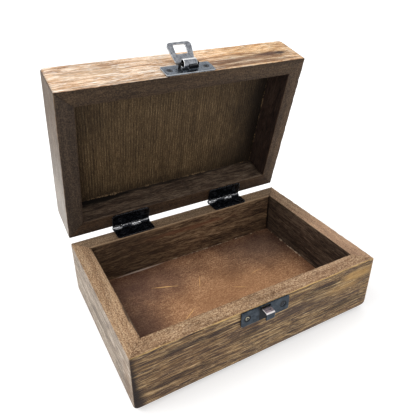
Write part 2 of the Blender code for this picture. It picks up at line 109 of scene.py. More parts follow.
# Latch, millimetres
LATCH_X = -2.1
LATCH_VOXEL = 0.16
PLATE_WIDTH = 30.0
PLATE_THICKNESS = 0.8
PLATE_CORNER = 1.2
PLATE_FACE_Y = -50.95
HASP_PLATE_HEIGHT = 10.0
CATCH_PLATE_HEIGHT = 9.4
PLATE_NAIL_SPREAD = 11.2
PLATE_DISH_DEPTH = 0.26
PLATE_NAIL_SINK = 0.16
# Inner and outer radii of the painted shade in the catch's nail dishes
CATCH_DISH_SHADE = (1.2, 2.4)
CATCH_EDGE = 0.9
# the same for the painted shade in the hasp plate's nail dishes
HASP_PLATE_DISH_SHADE = (-1.0, 2.0)
HASP_PLATE_EDGE = 0.28
TONGUE_X = -2.3
TONGUE_WIDTH = 5.4
TONGUE_THICKNESS = 0.9
TONGUE_TOP = 1.7
TONGUE_BOTTOM = 6.2
TONGUE_FRONT_Y = -55.5
TONGUE_BEND = 1.3
SLOT_MARGIN = 0.3
SLOT_BRIDGE = 0.6
HASP_AXIS = Vector((-1.6, -53.7, 45.8))
HASP_OPEN_DEG = 147.0
HASP_VOXEL = 0.15
HASP_EDGE = 0.25
BARREL_RADIUS = 2.5
BARREL_WALL = 0.55
BARREL_LENGTH = 8.0
STRAP_OFFSET = -0.9
STRAP_THICKNESS = 0.8
STRAP_LENGTH = 14.3
STRAP_TIP_HALF = 7.7
STRAP_TIP_SKEW = 0.5
STRAP_SHOULDER_HALF = 5.8
STRAP_SHOULDER_DROP = 0.9
STRAP_SHOULDER_CORNER = 0.6
STRAP_CORNER = 2.4
WINDOW_WIDTH = 6.8
WINDOW_SKEW = 0.4
WINDOW_NEAR = 6.9
WINDOW_FAR = 12.7
WINDOW_CORNER = 0.5
# Facing of the painted highlight along the hasp barrel's top
HASP_HIGHLIGHT_DIRECTION = Vector((-0.2, -0.25, 0.95)).normalized()
STAPLE_RADIUS = 0.8
STAPLE_HOLE_GAP = 0.2
STAPLE_HALF = 5.5
STAPLE_BEND = 0.9
STAPLE_END = 9.7
CRADLE_X = 0.1
CRADLE_LENGTH = 5.0
CRADLE_INNER = 2.8
CRADLE_THICKNESS = 0.7

# Camera and light
CAMERA_PLACE = Vector((-0.1141, -0.1882, 0.1999))
CAMERA_TARGET = Vector((-0.0037, 0.01146, 0.07522))
CAMERA_LENS = 39.155
CAMERA_SHIFT = (0.0085, -0.0442)
FLOOR_RADIUS = 6.0
FLOOR_DROP = 0.0002
FLOOR_GLOW = 0.45
WORLD_LIGHT = 0.9
SUN_DIRECTION = Vector((0.62, -0.22, -0.75))
SUN_ANGLE_DEG = 34.0
SUN_STRENGTH = 1.25

CLOSED = Matrix.Identity(4)
FLIPPED = Matrix.Rotation(math.pi, 4, "X")


def about_minus_x(degrees):
    return Matrix.Rotation(-math.radians(degrees), 4, "X")


LID_REST = Matrix.Translation(LID_AXIS) @ about_minus_x(LID_OPEN_DEG) @ Matrix.Translation(-LID_AXIS)
HASP_REST = LID_REST @ Matrix.Translation(HASP_AXIS) @ about_minus_x(HASP_OPEN_DEG)


# Mesh helpers


def soft_noise(point, scale, seed):
    """Smooth noise in 0..1 with features about `scale` millimetres across."""
    x, y, z = point
    shifted = Vector((x / scale + seed * 7.31, y / scale + seed * 3.17, z / scale - seed * 5.53))
    return min(1.0, max(0.0, 0.5 + 0.75 * noise.noise(shifted)))


def falloff(distance, reach):
    return math.exp(-((distance / reach) ** 2))


def linked(name, data):
    holder = bpy.data.objects.new(name, data)
    bpy.context.scene.collection.objects.link(holder)
    return holder


def publish(node, mesh, place, body, material, attributes):
    """Moves a mesh in millimetres to its place at rest, in metres, and lets it stand for its CAD node."""
    mesh.transform(Matrix.Diagonal((MM, MM, MM, 1.0)) @ place)
    for key, values in attributes.items():
        layer = mesh.attributes.new(key, "FLOAT_VECTOR", "POINT")
        layer.data.foreach_set("vector", np.asarray(values, np.float32).ravel())
    mesh.materials.clear()
    mesh.materials.append(material)
    mesh.shade_smooth()
    mesh.validate()
    piece = linked(f"{node}_piece", mesh)
    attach(piece, body)
    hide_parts(node)


def mesh_of(name, points, faces):
    mesh = bpy.data.meshes.new(name)
    mesh.from_pydata([tuple(p) for p in points], [], faces)
    mesh.update()
    return mesh


# Wood: wall boards. A board's own frame has x along it, y inwards from its outer face, z from foot to rim

BoardWear = namedtuple("BoardWear", "rim_radius unevenness outer inner ragged proud")
BACK_WEAR = BoardWear(BACK_RIM_RADIUS, unevenness=0.1, outer=0.0, inner=0.3, ragged=0.0, proud=0.1)
SIDE_WEAR = BoardWear(RIM_OUTER_RADIUS, unevenness=1.0, outer=0.35, inner=0.35, ragged=0.0, proud=0.0)
LEFT_WEAR = SIDE_WEAR._replace(ragged=0.9)
BASE_WEAR = {"front": SIDE_WEAR, "right": SIDE_WEAR, "back": BACK_WEAR, "left": LEFT_WEAR}
LID_WEAR = {**BASE_WEAR, "left": SIDE_WEAR}

SIDES = {
    "front": (WIDTH, 0.0, DEPTH / 2),
    "right": (DEPTH, 90.0, WIDTH / 2),
    "back": (WIDTH, 180.0, DEPTH / 2),
    "left": (DEPTH, 270.0, WIDTH / 2),
}


def straight_stations(span):
    """Stations strictly inside a straight run, closer together near both ends."""
    head = [d for d in EDGE_STEPS if d < span / 2 - 0.2]
    first = head[-1] if head else 0.0
    middle_count = max(1, round((span - 2 * first) / FACE_STEP))
    middle = [first + (span - 2 * first) * k / middle_count for k in range(1, middle_count)]
    return head + middle + [span - d for d in reversed(head)]


def board_section(height, rim_radius):
    """A wall board's closed section, from its outer foot edge up and round: points (y, z, ny, nz)."""
    corners = (
        (0.0, 0.0, FOOT_RADIUS, 10),
        (0.0, height, rim_radius, 4),
        (WALL, height, RIM_INNER_RADIUS, 4),
        (WALL, 0.0, HIDDEN_RADIUS, 2),
    )
    headings = ((0, 1), (1, 0), (0, -1), (-1, 0))
    section = []
    for i, (y, z, radius, steps) in enumerate(corners):
        to_y, to_z = headings[i]
        from_y, from_z = headings[i - 1]
        centre_y = y + (to_y - from_y) * radius
        centre_z = z + (to_z - from_z) * radius
        for k in range(steps + 1):
            angle = math.radians(270.0 - 90.0 * i - 90.0 * k / steps)
            ny, nz = math.cos(angle), math.sin(angle)
            section.append((centre_y + radius * ny, centre_z + radius * nz, ny, nz))
        start_y, start_z, ny, nz = section[-1]
        side = WALL if i % 2 else height
        for d in straight_stations(side - radius - corners[(i + 1) % 4][2]):
            section.append((start_y + to_y * d, start_z + to_z * d, ny, nz))
    return section


def length_stations(half):
    """Pairs (sign, distance from that end) or (0, fraction) along a board."""
    count = round(2 * (half - END_STEPS[-1]) / FACE_STEP)
    ends = [(-1, d) for d in END_STEPS]
    middle = [(0, -1.0 + 2.0 * k / count) for k in range(1, count)]
    return ends + middle + [(1, d) for d in reversed(END_STEPS)]


def rounded_corner(x, y, far_x, radius):
    """Pulls a point near the box's vertical corner on to a quarter round shared by both boards."""
    start = far_x - radius
    reach = abs(x) - start
    if radius <= 0.0 or reach <= 0.0:
        return x, y
    angle = math.radians(-90.0 + 45.0 * min(1.0, reach / radius))
    return math.copysign(start + radius * math.cos(angle), x), y + radius * (1.0 + math.sin(angle))


def corner_radius(y, z, ny, nz):
    """Radius of the vertical corner at a point of the section: it grows towards the foot."""
    if ny >= -0.01 and nz <= 0.5:
        return 0.0
    low = max(0.0, 1.0 - z / (1.6 * FOOT_RADIUS))
    return CORNER_RADIUS + FOOT_CORNER_EXTRA * low * low - (y if nz > 0.5 else 0.0)


def worn_depth(x, y, z, half, from_rim, from_inner_rim, wear, seed):
    """How far a point of a board has worn inwards."""
    waves = 0.12 * soft_noise((x * 0.5, y, z), 14.0, seed)
    waves += 0.03 * soft_noise((x * 0.2, y, z), 1.6, seed + 9)
    nibble = soft_noise((x, 0.0, z * 0.1), 2.4, seed + 3) ** 2
    bite = soft_noise((x, 0.0, 0.0), 1.5, seed + 5) ** 2
    inner = wear.inner + wear.ragged * max(0.0, x / half) ** 3
    worn = waves * wear.unevenness + wear.outer * nibble * falloff(from_rim, 0.8)
    return worn + inner * bite * falloff(from_inner_rim, 0.9)


def board_mesh(name, length, height, rim_up, wear, seed):
    """A mitred board with worn edges. Returns the mesh and its point attributes."""
    half = length / 2
    section = board_section(height, wear.rim_radius)
    stations = length_stations(half)
    points, places, zones, wears = [], [], [], []
    for sign, value in stations:
        for y, z, ny, nz in section:
            far_x = half - y - MITRE_GAP
            x = sign * (far_x - value) if sign else value * (far_x - END_STEPS[-1])
            from_rim = math.hypot(y, height - z)
            from_inner_rim = math.hypot(WALL - y, height - z)
            sink = worn_depth(x, y, z, half, from_rim, from_inner_rim, wear, seed)
            if sign and value == 0.0:
                sink += MITRE_GROOVE
            px, py = rounded_corner(x, y, far_x, corner_radius(y, z, ny, nz))
            py -= ny * sink
            pz = z - nz * sink + wear.proud * max(0.0, nz)
            points.append((px, py, pz if rim_up else height - pz))
            places.append((x, y, z))
            zones.append((min(0.0, ny) ** 2, max(0.0, nz) ** 2, max(0.0, ny) ** 2))
            at_corner = falloff(half - y - abs(x), 0.9) if ny < -0.2 else 0.0
            wears.append((falloff(from_rim, RUBBED_REACH), falloff(from_inner_rim, RUBBED_REACH), at_corner))
    ring = len(section)
    last = len(points) - ring
    faces = []
    for start in range(0, last, ring):
        for k in range(ring):
            a = start + k
            b = start + (k + 1) % ring
            faces.append((a, b, b + ring, a + ring))
    faces.append(tuple(range(ring - 1, -1, -1)))
    faces.append(tuple(range(last, last + ring)))
    if not rim_up:
        faces = [tuple(reversed(face)) for face in faces]
    return mesh_of(name, points, faces), {"place": places, "zone": zones, "wear": wears}


def build_boards(body, height, bottom, rim_up, rest, looks, wear):
    for i, (side, (length, turn, reach)) in enumerate(SIDES.items()):
        name = f"{body}_{side}_board"
        seed = i + (5 if body == "lid" else 0)
        mesh, attributes = board_mesh(name, length, height, rim_up, wear[side], seed)
        rotation = Matrix.Rotation(math.radians(turn), 4, "Z")
        place = Matrix.Translation((0, 0, bottom)) @ rotation @ Matrix.Translation((0, -reach, 0))
        material = wood_material(f"{name}_wood", looks[side], seed + 1)
        publish(name, mesh, rest @ place, body, material, attributes)


# Wood: panels

Panel = namedtuple("Panel", "low_z high_z inside_up step_x rib_pitch rib_depth glue")
BOTTOM_PANEL = Panel(PANEL_RECESS, FLOOR_THICKNESS, True, 1.6, rib_pitch=3.1, rib_depth=0.05, glue=0.8)
TOP_PANEL = Panel(
    LID_ROOF - TOP_THICKNESS, LID_ROOF - PANEL_RECESS, False, 0.4, rib_pitch=1.7, rib_depth=0.22, glue=1.1
)
PANEL_STEP_Y = 1.6
PANEL_BORDER_STEPS = (0.0, 0.3, 0.6, 1.0, 1.5)


def panel_axis(half, step):
    """Grid stations from -half to half, with extra ones close to the edges for the glue line."""
    inner = half - PANEL_BORDER_STEPS[-1]
    count = max(2, round(2 * inner / step))
    middle = [-inner + 2 * inner * k / count for k in range(1, count)]
    return [-half + b for b in PANEL_BORDER_STEPS] + middle + [half - b for b in reversed(PANEL_BORDER_STEPS)]


def panel_relief(x, y, border, panel, seed):
    """Rise, glue and groove darkening of the inner face at a point: sawn ribs, and beads of glue along the
    border.
    """
    bend = 3.0 * soft_noise((x, y * 0.1, 0), 9.0, seed)
    groove = 0.5 + 0.5 * math.cos(2 * math.pi * x / panel.rib_pitch + bend)
    share = 0.35 + 0.65 * soft_noise((x, y * 0.15, 4), 4.0, seed + 1)
    rise = -(panel.rib_depth * share * groove + 0.05 * soft_noise((x, y, 1), 7.0, seed))
    bead = 0.6 * soft_noise((x, y, 2), 1.3, seed + 4) + 0.5 * soft_noise((x, y, 5), 4.5, seed + 2)
    bead = max(0.0, bead - 0.42) * falloff(border, 0.8)
    bead *= max(0.0, 2.6 * soft_noise((x, y, 3), 16.0, seed + 6) - 0.5)
    return rise + panel.glue * bead, min(1.0, 2.6 * bead), groove ** 2 * share


def slab_faces(nx, ny):
    """Faces of a closed slab: a grid of nx by ny points, then the same grid below it."""
    below = nx * ny
    faces = []
    for j in range(ny - 1):
        for i in range(nx - 1):
            a = j * nx + i
            quad = (a, a + 1, a + nx + 1, a + nx)
            faces.append(quad)
            faces.append(tuple(below + k for k in reversed(quad)))
    around = list(range(nx)) + [j * nx + nx - 1 for j in range(1, ny)]
    around += [(ny - 1) * nx + i for i in range(nx - 2, -1, -1)] + [j * nx for j in range(ny - 2, 0, -1)]
    for a, b in zip(around, around[1:] + around[:1]):
        faces.append((below + a, below + b, b, a))
    return faces


def build_panel(name, panel, rest, body, look, seed):
    half_x = WIDTH / 2 - WALL - PANEL_GAP
    half_y = DEPTH / 2 - WALL - PANEL_GAP
    xs = panel_axis(half_x, panel.step_x)
    ys = panel_axis(half_y, PANEL_STEP_Y)
    points, places, zones, wears = [], [], [], []
    for side, z in ((1, panel.high_z), (-1, panel.low_z)):
        inner = (side == 1) == panel.inside_up
        for y in ys:
            for x in xs:
                border = min(half_x - abs(x), half_y - abs(y))
                rise, glue, groove_dark = panel_relief(x, y, border, panel, seed) if inner else (0.0, 0.0, 0.0)
                points.append((x, y, z + side * rise))
                places.append((x, y, z))
                zones.append((0.0 if inner else 1.0, 0.0, 1.0 if inner else 0.0))
                # glue, painted shade near the walls, and darkening in the grooves
                wears.append((glue, falloff(border, look["wall_shade_reach"]), groove_dark))
    mesh = mesh_of(name, points, slab_faces(len(xs), len(ys)))
    attributes = {"place": places, "zone": zones, "wear": wears}
    publish(name, mesh, rest, body, panel_material(f"{name}_wood", look, seed), attributes)
    mesh.set_sharp_from_angle(angle=math.radians(50.0))


# Metal: solids from outlines, fused and smoothed


def rounded(corners, steps=6):
    """Corner points (x, y, radius) turned into an outline with an arc at each corner."""
    outline = []
    for i, (x, y, radius) in enumerate(corners):
        here = Vector((x, y))
        before = (Vector(corners[i - 1][:2]) - here).normalized()
        after = (Vector(corners[(i + 1) % len(corners)][:2]) - here).normalized()
        if radius <= 0.0:
            outline.append((x, y))
            continue
        half = before.angle(after) / 2
        start = here + before * (radius / math.tan(half))
        centre = here + (before + after).normalized() * (radius / math.sin(half))
        sweep = math.pi - 2 * half
        if before.cross(after) > 0.0:
            sweep = -sweep
        for step in range(steps + 1):
            outline.append(tuple(centre + Matrix.Rotation(sweep * step / steps, 2) @ (start - centre)))
    return outline


def rectangle(low_x, low_y, high_x, high_y, radius):
    corners = ((low_x, low_y), (high_x, low_y), (high_x, high_y), (low_x, high_y))
    return rounded([(x, y, radius) for x, y in corners])


def circle(x, y, radius, steps=24):
    angles = [2 * math.pi * k / steps for k in range(steps)]
    return [(x + radius * math.cos(a), y + radius * math.sin(a)) for a in angles]


def ring_section(outer, inner, start_deg, end_deg, steps=28):
    """Section of a rolled strip: part of a ring between two angles."""
    angles = [math.radians(start_deg + (end_deg - start_deg) * k / steps) for k in range(steps + 1)]
    far = [(outer * math.cos(a), outer * math.sin(a)) for a in angles]
    near = [(inner * math.cos(a), inner * math.sin(a)) for a in reversed(angles)]
    return far + near


def slab(loops, thickness, matrix):
    """Outline and holes filled and extruded about the XY plane, then moved."""
    curve = bpy.data.curves.new("slab", "CURVE")
    curve.dimensions = "2D"
    curve.fill_mode = "BOTH"
    curve.extrude = thickness / 2
    for loop in loops:
        spline = curve.splines.new("POLY")
        spline.points.add(len(loop) - 1)
        for point, (x, y) in zip(spline.points, loop):
            point.co = (x, y, 0.0, 1.0)
        spline.use_cyclic_u = True
    mesh = evaluated_mesh(linked("slab", curve))
    bm = bmesh.new()
    bm.from_mesh(mesh)
    bmesh.ops.remove_doubles(bm, verts=bm.verts, dist=0.001)
    bmesh.ops.recalc_face_normals(bm, faces=bm.faces)
    bm.to_mesh(mesh)
    bm.free()
    mesh.transform(matrix)
    return mesh


def evaluated_mesh(holder):
    """The object's mesh with its modifiers applied; the object itself is removed."""
    bpy.context.view_layer.update()
    evaluated = holder.evaluated_get(bpy.context.evaluated_depsgraph_get())
    mesh = bpy.data.meshes.new_from_object(evaluated)
    bpy.data.objects.remove(holder, do_unlink=True)
    return mesh


def fused(name, meshes, voxel):
    """Overlapping solids made one skin, with softened edges."""
    bm = bmesh.new()
    for mesh in meshes:
        bm.from_mesh(mesh)
    joined = bpy.data.meshes.new(name)
    bm.to_mesh(joined)
    bm.free()
    holder = linked(name, joined)
    remesh = holder.modifiers.new("Remesh", "REMESH")
    remesh.mode = "VOXEL"
    remesh.voxel_size = voxel
    smooth = holder.modifiers.new("Smooth", "SMOOTH")
    smooth.factor = 0.5
    smooth.iterations = 3
    return evaluated_mesh(holder)


ALONG_X = Matrix(((0, 0, 1, 0), (1, 0, 0, 0), (0, 1, 0, 0), (0, 0, 0, 1)))
FACING_FRONT = Matrix.Rotation(math.pi / 2, 4, "X")


def drawn_along_x(outline, centre_x, length, centre=(0.0, 0.0)):
    """A (y, z) outline drawn out along X."""
    move = Matrix.Translation((centre_x, centre[0], centre[1]))
    return slab([outline], length, move @ ALONG_X)


def edge_attributes(mesh, reach, painted_light=None, highlight_and_wear=None, painted_shade=None):
    """How convex and how hollow the skin is, up to a bend of `reach`, and what the functions pick out:
    painted highlights join the rubbed convex edges, painted shade joins the hollows, and a third mask picks
    out painted light.
    """

    def read(items, key, width, kind=float):
        values = np.empty(len(items) * width, kind)
        items.foreach_get(key, values)
        return values.reshape(-1, width)

    def picked(function):
        return np.zeros(count) if function is None else np.clip(function(points, normals), 0, 1)

    count = len(mesh.vertices)
    points = read(mesh.vertices, "co", 3)
    normals = read(mesh.vertex_normals, "vector", 3)
    a, b = read(mesh.edges, "vertices", 2, np.int64).T
    step = points[b] - points[a]
    length = np.maximum(np.linalg.norm(step, axis=1), 1e-9)[:, None]
    step /= length
    bend = np.zeros(count)
    share = np.zeros(count)
    np.add.at(bend, a, -(normals[a] * step).sum(1))
    np.add.at(bend, b, (normals[b] * step).sum(1))
    np.add.at(share, a, 1)
    np.add.at(share, b, 1)
    bend /= np.maximum(share, 1)
    convex = np.maximum(np.clip(bend / reach, 0, 1), picked(highlight_and_wear))
    hollow_shade = np.maximum(np.clip(-bend / reach, 0, 1), picked(painted_shade))
    return {"place": points, "wear": np.stack([convex, hollow_shade, picked(painted_light)], axis=1)}


def dent(mesh, centre, axis, depth):
    """Presses a shallow dish round a nail into the face that the axis points out of."""
    for vertex in mesh.vertices:
        offset = vertex.co - centre
        along = offset.dot(axis)
        if -0.3 < along <= 1.2:
            across = (offset - axis * along).length
            vertex.co -= axis * depth * falloff(across, NAIL_DISH_RADIUS)


def turned(profile, steps, matrix):
    """A profile of (radius, height), from the axis to the axis, turned about Z."""
    points = [(0.0, 0.0, profile[0][1])]
    for radius, height in profile[1:-1]:
        for k in range(steps):
            angle = 2 * math.pi * k / steps
            points.append((radius * math.cos(angle), radius * math.sin(angle), height))
    points.append((0.0, 0.0, profile[-1][1]))
    rings = len(profile) - 2
    faces = []
    for k in range(steps):
        after = (k + 1) % steps
        faces.append((0, 1 + k, 1 + after))
        for r in range(rings - 1):
            low = 1 + r * steps
            high = low + steps
            faces.append((low + k, high + k, high + after, low + after))
        last = 1 + (rings - 1) * steps
        faces.append((len(points) - 1, last + after, last + k))
    mesh = mesh_of("turned", points, faces)
    mesh.transform(matrix)
    return mesh


TURNED_EDGE = 0.5
NAIL_HEAD = ((0.0, -0.16), (0.32, -0.14), (0.58, -0.03), (0.84, 0.04), (1.0, 0.0), (1.05, -0.1))
NAIL_SHANK = ((0.94, -0.24), (0.52, -0.62), (0.5, -2.0), (0.5, -5.8), (0.22, -6.5), (0.0, -7.0))
NAIL_PROFILE = NAIL_HEAD + NAIL_SHANK


def build_nail(name, place, rest, body, material):
    mesh = turned(NAIL_PROFILE, 24, place)
    publish(name, mesh, rest, body, material, edge_attributes(mesh, TURNED_EDGE))


# Hinges


def build_leaf(name, centre_x, own, up, rest, body, material):
    """One leaf: a flat plate whose back edge is rolled into knuckles round the pin."""
    low_x = centre_x - HINGE_LENGTH / 2
    high_x = low_x + HINGE_LENGTH
    step = HINGE_LENGTH / KNUCKLE_COUNT
    middle_z = LID_AXIS.z + up * (RIM_GAP / 2 - LEAF_GAP - LEAF_THICKNESS / 2)
    free_y = DEPTH / 2 - LEAF_REACH
    stop_y = DEPTH / 2 - LEAF_BACK_STOP
    nail_y = DEPTH / 2 - LEAF_NAIL_INSET
    free_corners = [(low_x, free_y, LEAF_CORNER), (high_x, free_y, LEAF_CORNER)]
    outline = rounded(free_corners + [(high_x, stop_y, 0.0), (low_x, stop_y, 0.0)])
    holes = [circle(centre_x + side * LEAF_NAIL_SPREAD, nail_y, NAIL_HOLE_RADIUS) for side in (-1, 1)]
    solids = [slab([outline] + holes, LEAF_THICKNESS, Matrix.Translation((0, 0, middle_z)))]
    seam = 180.0 - KNUCKLE_SEAM_DEG * up
    roll = ring_section(KNUCKLE_RADIUS, KNUCKLE_BORE, seam, seam + up * KNUCKLE_WRAP_DEG)
    if up < 0:
        roll = roll[::-1]
    for i in own:
        start = low_x + i * step + KNUCKLE_END_GAP / 2
        end = start + step - KNUCKLE_END_GAP
        tab = rectangle(start, stop_y - 1.0, end, DEPTH / 2 + KNUCKLE_TAB, 0.0)
        solids.append(slab([tab], LEAF_THICKNESS, Matrix.Translation((0, 0, middle_z))))
        solids.append(drawn_along_x(roll, (start + end) / 2, end - start, (LID_AXIS.y, LID_AXIS.z)))
    mesh = fused(name, solids, LEAF_VOXEL)
    for side in (-1, 1):
        spot = Vector((centre_x + side * LEAF_NAIL_SPREAD, nail_y, middle_z - up * LEAF_THICKNESS / 2))
        dent(mesh, spot, Vector((0, 0, -up)), LEAF_DISH_DEPTH)
    # Painted highlight: a white band on the side of the knuckles that faces the key light at rest
    highlight_facing = np.array(rest.to_3x3().inverted() @ KNUCKLE_HIGHLIGHT_DIRECTIONS[up])

    def knuckle_highlights(points, normals):
        radius = np.hypot(points[:, 1] - LID_AXIS.y, points[:, 2] - LID_AXIS.z)
        return (radius < KNUCKLE_RADIUS + 0.1) * (normals @ highlight_facing - 0.88) / 0.08

    attributes = edge_attributes(mesh, LEAF_EDGE, knuckle_highlights)
    publish(name, mesh, rest, body, material, attributes)


def build_hinge(side, centre_x, leaf_material, pin_material, nail_material):
    build_leaf(f"{side}_hinge_base_leaf", centre_x, (0, 2), -1.0, CLOSED, "base", leaf_material)
    build_leaf(f"{side}_hinge_lid_leaf", centre_x, (1, 3), 1.0, LID_REST, "lid", leaf_material)
    end = [(0.0, PIN_HALF), (0.35, PIN_HALF - 0.03), (0.58, PIN_HALF - 0.14), (PIN_RADIUS, PIN_HALF - 0.35)]
    profile = end + [(PIN_RADIUS, 0.0)] + [(radius, -height) for radius, height in reversed(end)]
    place = Matrix.Translation((centre_x, LID_AXIS.y, LID_AXIS.z)) @ Matrix.Rotation(math.pi / 2, 4, "Y")
    pin = turned(profile, 24, place)
    pin_edges = edge_attributes(pin, TURNED_EDGE)
    publish(f"{side}_hinge_pin", pin, CLOSED, "base", pin_material, pin_edges)
    nail_y = DEPTH / 2 - LEAF_NAIL_INSET
    for i, offset in enumerate((-LEAF_NAIL_SPREAD, LEAF_NAIL_SPREAD)):
        x = centre_x + offset
        over = Matrix.Translation((x, nail_y, BASE_HEIGHT + LEAF_GAP + LEAF_THICKNESS - LEAF_NAIL_SINK))
        build_nail(f"{side}_hinge_base_nail_{i + 1}", over, CLOSED, "base", nail_material)
        under = Matrix.Translation((x, nail_y, LID_BOTTOM - LEAF_GAP - LEAF_THICKNESS + LEAF_NAIL_SINK))
        build_nail(f"{side}_hinge_lid_nail_{i + 1}", under @ FLIPPED, LID_REST, "lid", nail_material)


# Latch


def latch_plate(height, low_z, extra_loops):
    """The flat of a latch plate with its nail holes, facing the front."""
    half = PLATE_WIDTH / 2
    outline = rectangle(LATCH_X - half, low_z, LATCH_X + half, low_z + height, PLATE_CORNER)
    middle_z = low_z + height / 2
    holes = [circle(LATCH_X + side * PLATE_NAIL_SPREAD, middle_z, NAIL_HOLE_RADIUS) for side in (-1, 1)]
    move = Matrix.Translation((0, PLATE_FACE_Y + PLATE_THICKNESS / 2, 0))
    return slab([outline] + holes + extra_loops, PLATE_THICKNESS, move @ FACING_FRONT)


def plate_nails(prefix, middle_z, rest, body, materials):
    for i, offset in enumerate((-PLATE_NAIL_SPREAD, PLATE_NAIL_SPREAD)):
        spot = Matrix.Translation((LATCH_X + offset, PLATE_FACE_Y + PLATE_NAIL_SINK, middle_z))
        build_nail(f"{prefix}_nail_{i + 1}", spot @ FACING_FRONT, rest, body, materials[i])


def dent_plate(mesh, middle_z):
    for offset in (-PLATE_NAIL_SPREAD, PLATE_NAIL_SPREAD):
        dent(mesh, Vector((LATCH_X + offset, PLATE_FACE_Y, middle_z)), Vector((0, -1, 0)), PLATE_DISH_DEPTH)


def nail_dishes(points, middle_z, reach):
    """Near 1 in the dishes pressed round a plate's two nails, between an inner and an outer radius, where
    painted shade goes.
    """
    inner, outer = reach
    best = np.zeros(len(points))
    for offset in (-PLATE_NAIL_SPREAD, PLATE_NAIL_SPREAD):
        radius = np.hypot(points[:, 0] - LATCH_X - offset, points[:, 2] - middle_z)
        best = np.maximum(best, np.clip((radius - inner) / 0.3, 0, 1) * np.clip((outer - radius) / 0.5, 0, 1))
    return best


def build_catch(material, nail_materials):
    """The catch plate with its slot, and the tongue bent forward and down under it."""
    low_z = BASE_HEIGHT - CATCH_PLATE_HEIGHT
    half = TONGUE_WIDTH / 2
    top = BASE_HEIGHT - TONGUE_TOP
    slot_half = half + SLOT_MARGIN
    slot_loop = rectangle(TONGUE_X - slot_half, top, TONGUE_X + slot_half, BASE_HEIGHT - SLOT_BRIDGE, 0.0)
    root_y = PLATE_FACE_Y + PLATE_THICKNESS / 2
    under = top - TONGUE_THICKNESS
    inner_y = TONGUE_FRONT_Y + TONGUE_THICKNESS
    bottom = BASE_HEIGHT - TONGUE_BOTTOM
    outline = rounded(
        [
            (root_y, top, 0.0),
            (root_y, under, 0.0),
            (inner_y, under, TONGUE_BEND - TONGUE_THICKNESS),
            (inner_y, bottom, 0.0),
            (TONGUE_FRONT_Y, bottom, 0.0),
            (TONGUE_FRONT_Y, top, TONGUE_BEND),
        ]
    )
    solids = [
        latch_plate(CATCH_PLATE_HEIGHT, low_z, [slot_loop]),
        drawn_along_x(outline, TONGUE_X, TONGUE_WIDTH),
    ]
    mesh = fused("catch_plate", solids, LATCH_VOXEL)
    middle_z = low_z + CATCH_PLATE_HEIGHT / 2
    dent_plate(mesh, middle_z)

    def forward(points):
        return np.clip((PLATE_FACE_Y - 0.2 - points[:, 1]) / 0.5, 0, 1)

    # Painted highlight on the tongue's upward face
    def tongue_top_highlight(points, normals):
        return forward(points) * (normals[:, 2] - 0.5) * 2.5

    # Painted highlights: bright lines along the tongue's bend and its side edges
    def tongue_edge_highlights(points, normals):
        bend = np.clip(1.4 - np.abs(normals[:, 2] - 0.65) / 0.28, 0, 1) * (normals[:, 1] < -0.3)
        side = np.clip(1.4 - (points[:, 0] - (TONGUE_X - half)) / 0.4, 0, 1) * (normals[:, 2] > 0.5)
        right = np.clip(1.4 - (TONGUE_X + half - points[:, 0]) / 0.3, 0, 1) * (normals[:, 2] < 0.5)
        return forward(points) * np.maximum(np.maximum(bend, side), 0.6 * right)

    def shaded(points, normals):
        left_side = forward(points) * (-normals[:, 0] - 0.4) * 3.0
        behind = (half + 1.0 - np.abs(points[:, 0] - TONGUE_X + 0.5)) / 0.6 * (points[:, 2] < top + 0.3)
        under_side = (points[:, 1] > inner_y - 0.1) & (normals[:, 2] < 0.5)
        left_side = np.maximum(left_side, np.clip(behind, 0, 1) * under_side)
        return np.maximum(left_side, nail_dishes(points, middle_z, CATCH_DISH_SHADE))

    attributes = edge_attributes(mesh, CATCH_EDGE, tongue_top_highlight, tongue_edge_highlights, shaded)
    publish("catch_plate", mesh, CLOSED, "base", material, attributes)
    plate_nails("catch", middle_z, CLOSED, "base", nail_materials)


def build_hasp_plate(material, nail_materials):
    """The lid's plate with the curled lip under the hasp's barrel."""
    middle_z = LID_BOTTOM + HASP_PLATE_HEIGHT / 2
    lip = ring_section(CRADLE_INNER + CRADLE_THICKNESS, CRADLE_INNER, -96.0, 0.0, 14)
    trim_y = PLATE_FACE_Y + PLATE_THICKNESS - HASP_AXIS.y
    lip = [(min(y, trim_y), z) for y, z in lip]
    hole = STAPLE_RADIUS + STAPLE_HOLE_GAP
    loops = [circle(HASP_AXIS.x + side * STAPLE_HALF, HASP_AXIS.z, hole, 16) for side in (-1, 1)]
    solids = [
        latch_plate(HASP_PLATE_HEIGHT, LID_BOTTOM, loops),
        drawn_along_x(lip, CRADLE_X, CRADLE_LENGTH, (HASP_AXIS.y, HASP_AXIS.z)),
    ]
    mesh = fused("hasp_plate", solids, LATCH_VOXEL)
    dent_plate(mesh, middle_z)

    # Painted shade on the curled lip under the barrel
    def lip_shade(points, normals):
        return (PLATE_FACE_Y - 0.3 - points[:, 1]) / 0.4

    def shaded(points, normals):
        return np.maximum(lip_shade(points, normals), nail_dishes(points, middle_z, HASP_PLATE_DISH_SHADE))

    attributes = edge_attributes(mesh, HASP_PLATE_EDGE, lip_shade, None, shaded)
    publish("hasp_plate", mesh, LID_REST, "lid", material, attributes)
    plate_nails("hasp_plate", middle_z, LID_REST, "lid", nail_materials)


